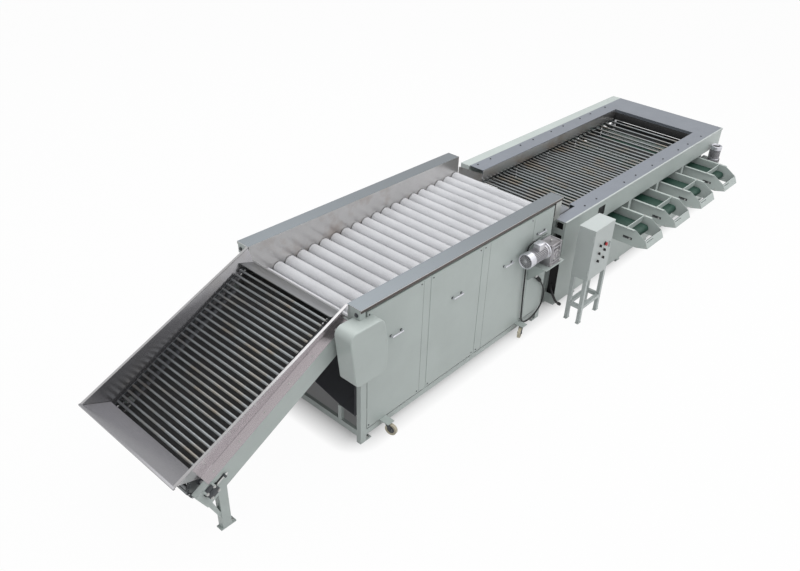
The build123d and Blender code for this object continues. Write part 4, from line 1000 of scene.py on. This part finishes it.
class WASHER_OT_bar_chains(bpy.types.Operator):
    """Models the bar chains of the elevator and the grader, with their shafts and wheels"""

    bl_idname = "washer.bar_chains"
    bl_label = "Bar chains and shafts"

    def bar(self, y):
        """One bar with its turned-down ends, at zero in X and Z."""
        pins = ((y[0] - PIN_REACH, y[0] + 1), (y[1] - 1, y[1] + PIN_REACH))
        body = rod("bar", (0, y[0], 0), (0, y[1], 0), BAR_RADIUS, 24, 2)
        ends = [rod("steel", (0, low, 0), (0, high, 0), PIN_RADIUS, 10) for low, high in pins]
        return join([body] + ends)

    def link(self, start, end, y):
        """A side plate of the chain from one bar to the next, with cut corners."""
        a, b = Vector((start[0], 0, start[1])), Vector((end[0], 0, end[1]))
        way = (b - a).normalized()
        side = Vector((-way.z, 0, way.x))
        corners = ((a, -9, -4), (a, -5, -9), (b, 5, -9), (b, 9, -4),
                   (b, 9, 4), (b, 5, 9), (a, -5, 9), (a, -9, 4))
        points = [place + way * along + side * out for place, along, out in corners]
        return outline("iron", [(point.x, y, point.z) for point in points], (0, LINK_THICK, 0))

    def chain(self, places, bar, y):
        """Bars at their places, and two rows of links between them."""
        pieces = [shifted(bar, (x, 0, z)) for x, z in places]
        rows = [edge + gap for edge, gap in zip(y, LINK_GAPS)]
        for index, (start, end) in enumerate(zip(places, places[1:])):
            pieces += [self.link(start, end, row + LINK_STEP * (index % 2)) for row in rows]
        return pieces

    def wheel(self, centre, y, radius, seats, turn):
        """A wheel with a seat for each bar, or a plain one where it has no seats."""
        rim, floor = radius - 4, radius - BAR_RADIUS - 1.5
        if not seats:
            ends = [(centre[0], face, centre[1]) for face in (y, y + WHEEL_THICK)]
            return rod("steel", *ends, floor + 1, 64, 1.5)
        spots = []
        for seat in range(seats):
            middle = turn + 2 * math.pi * seat / seats
            for reach, away in ((rim, -20), (floor, -9), (floor, 9), (rim, 20)):
                spots.append(on_circle(centre, reach, middle + away / reach))
        return outline("steel", [(x, y, z) for x, z in spots], (0, WHEEL_THICK, 0), 1, 1)

    def shaft(self, name, centre, reach, radius, pieces, wheels, turn):
        """A shaft with two wheels and their hubs, and the bars that lie round it."""
        x, z = centre
        pieces = pieces + [rod("steel", (x, reach[0], z), (x, reach[1], z), radius, 24, 1.5)]
        places, wheel_radius, seats = wheels
        for y in places:
            pieces.append(self.wheel(centre, y, wheel_radius, seats, turn))
            pieces.append(rod("iron", (x, y - 9, z), (x, y + 21, z), radius * 2, 28, 2))
        dress(f"{name}_turned", pieces, name, name)

    def elevator(self):
        bar = self.bar(INFEED_BAR_Y)
        for name, level, first in (
            ("infeed_top_bars", INFEED_LEVEL, INFEED_TAIL),
            ("infeed_return_bars", INFEED_LEVEL - 2 * INFEED_RADIUS, INFEED_TAIL + INFEED_PITCH),
        ):
            places = [on_slope(first + INFEED_PITCH * i, level) for i in range(INFEED_BARS)]
            dress(f"{name}_chain", self.chain(places, bar, INFEED_BAR_Y), name, name)
        start = math.pi / 2 + SLOPE
        wheels = (INFEED_WHEEL_Y, INFEED_RADIUS, 2 * INFEED_HALF_TURN)
        for name, along, first, way, near in (
            ("infeed_head_shaft", INFEED_HEAD, 0, -1, DRIVE_SHAFT_NEAR),
            ("infeed_tail_shaft", INFEED_TAIL, 1, 1, INFEED_TAIL_NEAR),
        ):
            centre = on_slope(along, INFEED_AXIS)
            steps = range(first, first + INFEED_HALF_TURN)
            turns = [start + way * math.pi * step / INFEED_HALF_TURN for step in steps]
            places = [on_circle(centre, INFEED_RADIUS, turn) for turn in turns]
            pieces = self.chain(places, bar, INFEED_BAR_Y)
            if along == INFEED_HEAD:
                pieces.append(chain_wheel(centre, DRIVE_WHEEL_Y, DRIVE_WHEEL))
            self.shaft(name, centre, (near, INFEED_SHAFT_FAR), INFEED_SHAFT, pieces, wheels, start)
        bpy.data.objects.remove(bar)

    def grader(self):
        bar = self.bar(GRADER_BAR_Y)
        spots = [GRADER_FIRST + GRADER_PITCH * i for i in range(GRADER_EVEN + 1)]
        for step in range(GRADER_SPREAD):
            spots.append(spots[-1] + GRADER_PITCH + GRADER_SPREAD_RATE * step**2)
        low = GRADER_AXIS - GRADER_RADIUS
        for name, run, level in (
            ("grader_top_bars", spots, GRADER_LEVEL), ("grader_return_bars", spots[1:], low),
        ):
            pieces = self.chain([(spot, level) for spot in run], bar, GRADER_BAR_Y)
            dress(f"{name}_chain", pieces, name, name)
        lead = GRADER_HEAD_LEAD / GRADER_RADIUS
        step = math.pi / GRADER_HALF_TURN
        for name, x, count, offset, way, near, seats in (
            ("grader_head_shaft", GRADER_HEAD, GRADER_HEAD_BARS, lead, -1, -38, 2 * GRADER_HEAD_BARS),
            ("grader_tail_shaft", GRADER_FIRST, GRADER_HALF_TURN, step, 1, -15.8, 0),
        ):
            centre = (x, GRADER_AXIS)
            turns = [math.pi / 2 + way * (offset + math.pi * i / count) for i in range(count)]
            places = [on_circle(centre, GRADER_RADIUS, turn) for turn in turns]
            pieces = self.chain(places, bar, GRADER_BAR_Y)
            wheels = (GRADER_WHEEL_Y, GRADER_RADIUS, seats)
            self.shaft(name, centre, (near, GRADER_SHAFT_FAR), GRADER_SHAFT, pieces, wheels, turns[0])
        bpy.data.objects.remove(bar)

    def execute(self, context):
        self.elevator()
        self.grader()
        return {"FINISHED"}


class WASHER_OT_elevator_fittings(bpy.types.Operator):
    """Models the elevator's bearings, take-up screws, a black sheet of painted shade over the slide, and
    fasteners
    """

    bl_idname = "washer.elevator_fittings"
    bl_label = "Elevator fittings"

    def bearing(self, along, face, inward):
        """A flanged bearing with cut corners on the beam, with its boss, cap and four bolts."""
        depth = -inward * BEARING_DEPTH
        front = face + depth
        corners = ((-50, -30), (-30, -50), (30, -50), (50, -30), (50, 30), (30, 50), (-30, 50), (-50, 30))
        holes = ((-34, -34), (34, -34), (34, 34), (-34, 34))
        points = slope_points([(along + u, INFEED_AXIS + v) for u, v in corners], face)
        spots = slope_points([(along + u, INFEED_AXIS + v) for u, v in holes], front)
        x, z = on_slope(along, INFEED_AXIS)
        plate = outline("iron", points, (0, depth, 0), 4, 3)
        boss = rod("iron", (x, front + inward * 2, z), (x, front - inward * 9, z), 34, 36, 4)
        cap = rod("iron", (x, front - inward * 8, z), (x, front - inward * 12, z), 21, 28, 2)
        return [plate, boss, cap, bolts("zinc", spots, (0, -inward, 0), 8.5)]

    def take_up(self, face, inward):
        """The slot that the tail shaft is drawn along, shown as a black plate of painted shade, with its
        block, screw and nut.
        """
        start = INFEED_TAIL + 52

        def slab(finish, low, high, half, depth, edge):
            corners = ((low, -half), (high, -half), (high, half), (low, half))
            points = slope_points([(start + u, INFEED_AXIS + v) for u, v in corners], face)
            return outline(finish, points, (0, -inward * depth, 0), edge, 2)

        def pin(low, high, radius, sides):
            ends = slope_points([(start + u, INFEED_AXIS) for u in (low, high)], face - inward * 13)
            return rod("zinc", *ends, radius, sides, 1)

        # A thin black plate on the beam: painted shade where the slot shows dark
        slot = slab("black", 0, 92, 11, 1.2, 0.4)
        block = slab("iron", 74, 92, 15, 24, 2)
        screw = pin(-4, 112, 6, 16)
        nut = pin(93, 101, 11, 6)
        return [slot, block, screw, nut]

    def execute(self, context):
        pieces = []
        for face, inward in both_faces(BEAM_FACE):
            pieces += self.bearing(INFEED_TAIL, face, inward) + self.bearing(INFEED_HEAD, face, inward)
            pieces += self.take_up(face, inward)
        dress("elevator_bearings", pieces)
        corners = ((-1108, 1106.9), (578, 1106.9), (578, 1108.9), (-1108, 1108.9))
        # A near-black sheet under the bars: painted shade over the slide
        shade_sheet = outline("painted_shade", slope_points(corners, 252), (0, 996, 0), 0.5, 1)
        dress("slide_liner", [shade_sheet])
        spots = []
        for along in (-900, -625, -350, -75, 200, 475):
            for y in both_sides(150):
                spots += slope_points([(along, 1143.7)], y)
        way = (-math.sin(SLOPE), 0, math.cos(SLOPE))
        feet = [(-1244, y, FOOT_TOP) for y in both_sides(140)]
        dress("elevator_fasteners", [bolts("zinc", spots, way, 6.5), bolts("zinc", feet, UP, 9)])
        return {"FINISHED"}


class WASHER_OT_castors(bpy.types.Operator):
    """Models one castor, and copies its fork and wheel to the four corners of the washer"""

    bl_idname = "washer.castors"
    bl_label = "Castors"

    def fork(self):
        x, z = CASTOR_AXLE
        pieces = [rod("zinc", (0, 0, 122.4), (0, 0, 135.4), 30, 32, 3),
                  box("zinc", (-24, -20.5, 119.7), (28, 20.5, 123), 1)]
        side = ((-22, 124), (27, 124), (55, 68), (53, 54), (46, 47), (34, 47), (29, 53))
        for way in (1, -1):
            start = way * 15.8
            pieces.append(outline("iron", [(px, start, pz) for px, pz in side], (0, way * 4.8, 0), 1.2, 2))
            pieces.append(rod("iron", (x, start + way * 4.6, z), (x, start + way * 10, z), 9.5, 6, 1))
        return join(pieces)

    def wheel(self):
        def disc(finish, half, *values):
            x, z = CASTOR_AXLE
            return rod(finish, (x, -half, z), (x, half, z), *values)

        tread = disc("cream", 15, 58, 64)
        for way in (-1, 1):
            press(tread, (0, way, 0), 13, -3.5)
        return join([soften(tread, 3, 3), disc("iron", 12.4, 38, 40, 2), disc("zinc", 14.8, 15, 28, 1.5)])

    def execute(self, context):
        for part, slot, master in (("fork", "zinc", self.fork()), ("wheel", "castor", self.wheel())):
            for number, (x, y, turn) in enumerate(CASTORS, 1):
                piece = copied(master, carried(at(0, 0, 0), at(x, y, 0), math.radians(turn), "Z"))
                body = f"castor_{part}_{number}"
                dress(f"castor_{part}_turned_{number}", [piece], body, body)
            bpy.data.objects.remove(master)
        return {"FINISHED"}


class WASHER_OT_controls(bpy.types.Operator):
    """Models the stop button, the selector switches and the cabinet's hinges"""

    bl_idname = "washer.controls"
    bl_label = "Controls"

    def execute(self, context):
        def turned(finish, place, front, back, *values):
            return rod(finish, (place[0], front, place[1]), (place[0], back, place[1]), *values)

        dome = soften(turned("red", STOP_PLACE, -428.6, -411, 20.5, 40), 6, 4)
        stem = turned("black", STOP_PLACE, -412, -390, 11)
        dress("stop_button", [dome, stem], "emergency_stop", "emergency_stop")
        bezels = [turned("black", STOP_PLACE, -404.2, DOOR_FACE, 25, 36, 1.5)]
        for number, place in enumerate(SELECTORS, 1):
            x, z = place
            bezels.append(turned("zinc", place, -403, DOOR_FACE, 19.5, 32, 1))
            knob = [turned("black", place, -410.2, -401, 15.2, 28, 2),
                    box("black", (x - 5.5, -425, z - 15), (x + 5.5, -409, z + 15), 3.5),
                    box("cream", (x - 1, -425.5, z + 4), (x + 1, -424.5, z + 13), 0.4)]
            dress(f"selector_knob_{number}", knob, f"selector_{number}", f"selector_{number}")
        dress("door_bezels", bezels, "control_door")
        starts = [low + 21 * step for low in (610, 1020) for step in range(3)]
        hinges = [rod("case", (*HINGE_PLACE, low), (*HINGE_PLACE, low + 20), 6.5, 20, 1) for low in starts]
        dress("cabinet_hinges", hinges)
        return {"FINISHED"}


class WASHER_OT_outfeed_fittings(bpy.types.Operator):
    """Models the take-ups with painted shade at their slots, the spout floor in a dark colour as painted
    shade, and the nuts of one outfeed, and copies them to the four
    """

    bl_idname = "washer.outfeed_fittings"
    bl_label = "Outfeed fittings"

    def side(self, face, out):
        """The slot's painted shade, a black plate inside and one on the face, the take-up and the bolts on
        one side plate.
        """
        z = DRUM_AXIS[1]

        def across(finish, near, far, y, half, edge):
            low, high = sorted((face + out * near, face + out * far))
            return box(finish, (low, y[0], z - half), (high, y[1], z + half), edge)

        screw_x, spout_x = face + out * 3.5, face + out * 0.2
        # Black plates of painted shade inside the slot and on its face
        shade = across("black", -5.6, -4.3, (-393, -287), 10.5, 0.4)
        plate = across("black", 0.2, 1.4, (-397, -284), 14, 0.4)
        block = across("iron", 0.3, 6, (-391, -346), 10, 1.5)
        screw = rod("iron", (screw_x, -347, z), (screw_x, -289, z), 4.5, 12, 0.8)
        lug = across("iron", 0.3, 9, (-302, -290), 12, 1.2)
        flange_bolt = bolts("zinc", [(face + out * 15, -318, 820)], UP, 7.5)
        spout_bolts = bolts("zinc", [(spout_x, -574, 668), (spout_x, -470, 634)], (out, 0, 0), 6)
        return [shade, plate, block, screw, lug, flange_bolt, spout_bolts]

    def execute(self, context):
        middle = OUTFEEDS[0]
        pieces, nuts = [], []
        for out in (-1, 1):
            face = middle + out * OUTFEED_HALF
            pieces += self.side(face, out)
            ends = [(face + out * depth, *DRUM_AXIS) for depth in (5, 11.5)]
            nuts.append(rod("zinc", *ends, 12, 6, 1))
        low, high = middle - SPOUT_HALF, middle + SPOUT_HALF
        # The spout floor's dark colour is painted shade inside the spout
        floor = [(low, -470, 617), (low, -597, 651), (low, -597, 654), (low, -470, 620)]
        pieces.append(outline("tray", floor, (high - low, 0, 0), 0.5, 1))
        for name, slot, body, parts in (("outfeed_take_ups", "bearing", "machine", pieces),
                                        ("outfeed_journal_nuts", "zinc", "outfeed_head_drums", nuts)):
            first = join(parts)
            dress(name, [first] + [shifted(first, (x - middle, 0, 0)) for x in OUTFEEDS[1:]], body)
        return {"FINISHED"}


class WASHER_OT_washer_fittings(bpy.types.Operator):
    """Models the washer's handles, edges, panel seams, transfer plate and fasteners"""

    bl_idname = "washer.washer_fittings"
    bl_label = "Washer fittings"

    def handle(self, x, z, face, inward):
        """A strap handle on two pads."""
        shape = ((-70, 0), (-70, 33.5), (70, 33.5), (70, 0), (57.5, 0), (57.5, 21), (-57.5, 21), (-57.5, 0))
        points = [(x + dx, face - inward * dy, z - 6.5) for dx, dy in shape]
        low, high = sorted((face, face - inward * 7))
        pads = [box("iron", (x + dx - 11, low, z - 10), (x + dx + 11, high, z + 10), 2) for dx in (-63, 63)]
        return join([outline("silver", points, (0, 0, 13), 3, 3)] + pads)

    def execute(self, context):
        handles = [self.handle(*place, *face) for place in HANDLES for face in both_faces(0)]
        dress("panel_handles", handles)
        # Dark strips along the trough's lip: painted shade and painted reflection
        spans = both_spans(-11.3, -10.1)
        strips = [box("brown", (2, low, 1397), (2884, high, 1420), 0.4) for low, high in spans]
        dress("lip_strips", strips)
        seams, edges = [], []
        for low, high in both_spans(-0.7, -0.2):
            seams += [box("seam", (x - 1.8, low, 150), (x + 1.8, high, 1362), 0.3) for x in (760, 1690)]
            edges.append(box("case", (90, low - 0.8, 133), (2690, high + 0.8, 137.5), 0.5))
        dress("panel_seams", seams)
        for low, high in both_spans(73.2, 126.5):
            edges.append(box("case", (0.4, low, 1332), (3.4, high, 1421.6), 0.5))
        dress("washer_edges", edges)
        points = [(2, 190, 1301.9), (-125, 190, 1334.8), (-125.6, 190, 1332.5), (1.4, 190, 1299.6)]
        dress("transfer_plate", [outline("plate", points, (0, 1120, 0), 0.8, 2)])
        feet = [(x, y, FOOT_TOP) for x in (115, 2665) for y in both_sides(28)]
        pieces = [bolts("zinc", feet, UP, 10)]
        pieces.append(bolts("iron", [(-0.2, y, 1366) for y in both_sides(36)], TO_INFEED, 13))
        for y, inward in both_faces(-0.2):
            spots = [(x, y, z) for x in (106, 730, 882, 1540, 1612, 2370) for z in (1338, 172)]
            pieces.append(bolts("iron", spots, (0, -inward, 0), 5))
        dress("washer_fasteners", pieces)
        return {"FINISHED"}


class WASHER_OT_grader_fittings(bpy.types.Operator):
    """Models the grader's deck edge, a black plate of painted shade behind the window, inner sheets of
    painted shade, and fasteners
    """

    bl_idname = "washer.grader_fittings"
    bl_label = "Grader fittings"

    def inner_sheets(self):
        """Near-black sheets of painted shade between the belts, behind them, before the head shaft and at
        the near end.
        """
        catches = ((3605, 3895), (4310, 4613), (5028, 5331), (5746, 6049), (6464, 6560))
        sheets = [((low, 46, 846), (high, 1493, 848.5), 0.5) for low, high in catches]
        sheets += [((x - 188, 1492, 622), (x + 188, 1494.4, 900), 0.5) for x in OUTFEEDS]
        sheets.append(((6458, 46, 564), (6697, 48.5, 843), 0.5))
        sheets += [((6699, low, 502), (6701.5, high, 886), 0.5) for low, high in ((46, 132), (198, 1402))]
        sheets += [((6588.4, 201, 943), (6589.8, 1398, 1042), 0.4),
                   ((3072.4, -14, 98), (3073.6, 1490, 879), 0.4),
                   ((3072.4, -14, 881), (3073.6, 109, 1074), 0.4)]
        return [box("painted_shade", *sheet) for sheet in sheets]

    def execute(self, context):
        start, end = DECK_ENDS
        edge = [box("case", (start, -24.5, 1062), (end, -23.1, 1083.5), 0.6),
                box("case", (start, -24.5, 1082.1), (end, -6, 1083.6), 0.6)]
        dress("deck_edge", edge)
        # A black plate behind the fascia's window: painted shade
        dress("window_shade", [box("black", (3700, -11, 882), (3875, -9.5, 1028), 0.4)])
        dress("grader_baffles", self.inner_sheets())
        dress("opening_liner", [box("trough", (3432, 1398.2, 943), (6588, 1399.8, 1077), 0.4)])
        screws = [(x, y, DECK_TOP) for x in DECK_SCREWS for y in (60, 1550)]
        feet = [(x, y, FOOT_TOP) for x in (3470, 6952) for y in (14.1, 1524.9)]
        dress("grader_fasteners", [bolts("iron", screws, UP, 8), bolts("zinc", feet, UP, 10)])
        return {"FINISHED"}


STEPS = (
    WASHER_OT_finishes, WASHER_OT_stage, WASHER_OT_cable, WASHER_OT_brushes, WASHER_OT_washer_motor,
    WASHER_OT_grader_motor, WASHER_OT_bar_chains, WASHER_OT_elevator_fittings, WASHER_OT_castors,
    WASHER_OT_controls, WASHER_OT_outfeed_fittings, WASHER_OT_washer_fittings, WASHER_OT_grader_fittings,
)
SETTINGS = {
    "washer_grader_finish": FinishSettings,
    "washer_grader_brush": BrushSettings,
    "washer_grader_stage": StageSettings,
}


class WASHER_PT_panel(bpy.types.Panel):
    """Lists the steps and settings in the sidebar"""

    bl_idname = "WASHER_PT_panel"
    bl_label = "Washer Grader"
    bl_space_type = "VIEW_3D"
    bl_region_type = "UI"
    bl_category = "Washer Grader"

    def draw(self, context):
        for step in STEPS:
            self.layout.operator(step.bl_idname)
        for group in SETTINGS:
            values = getattr(context.scene, group)
            for name in values.__annotations__:
                self.layout.prop(values, name)


CLASSES = (*SETTINGS.values(), *STEPS, WASHER_PT_panel)


def register():
    for item in CLASSES:
        bpy.utils.register_class(item)
    for name, group in SETTINGS.items():
        setattr(bpy.types.Scene, name, bpy.props.PointerProperty(type=group))


def unregister():
    for name in SETTINGS:
        delattr(bpy.types.Scene, name)
    for item in reversed(CLASSES):
        bpy.utils.unregister_class(item)


def main():
    register()
    for step in STEPS:
        getattr(bpy.ops.washer, step.bl_idname.removeprefix("washer."))()
    clear()


if __name__ == "__main__":
    main()
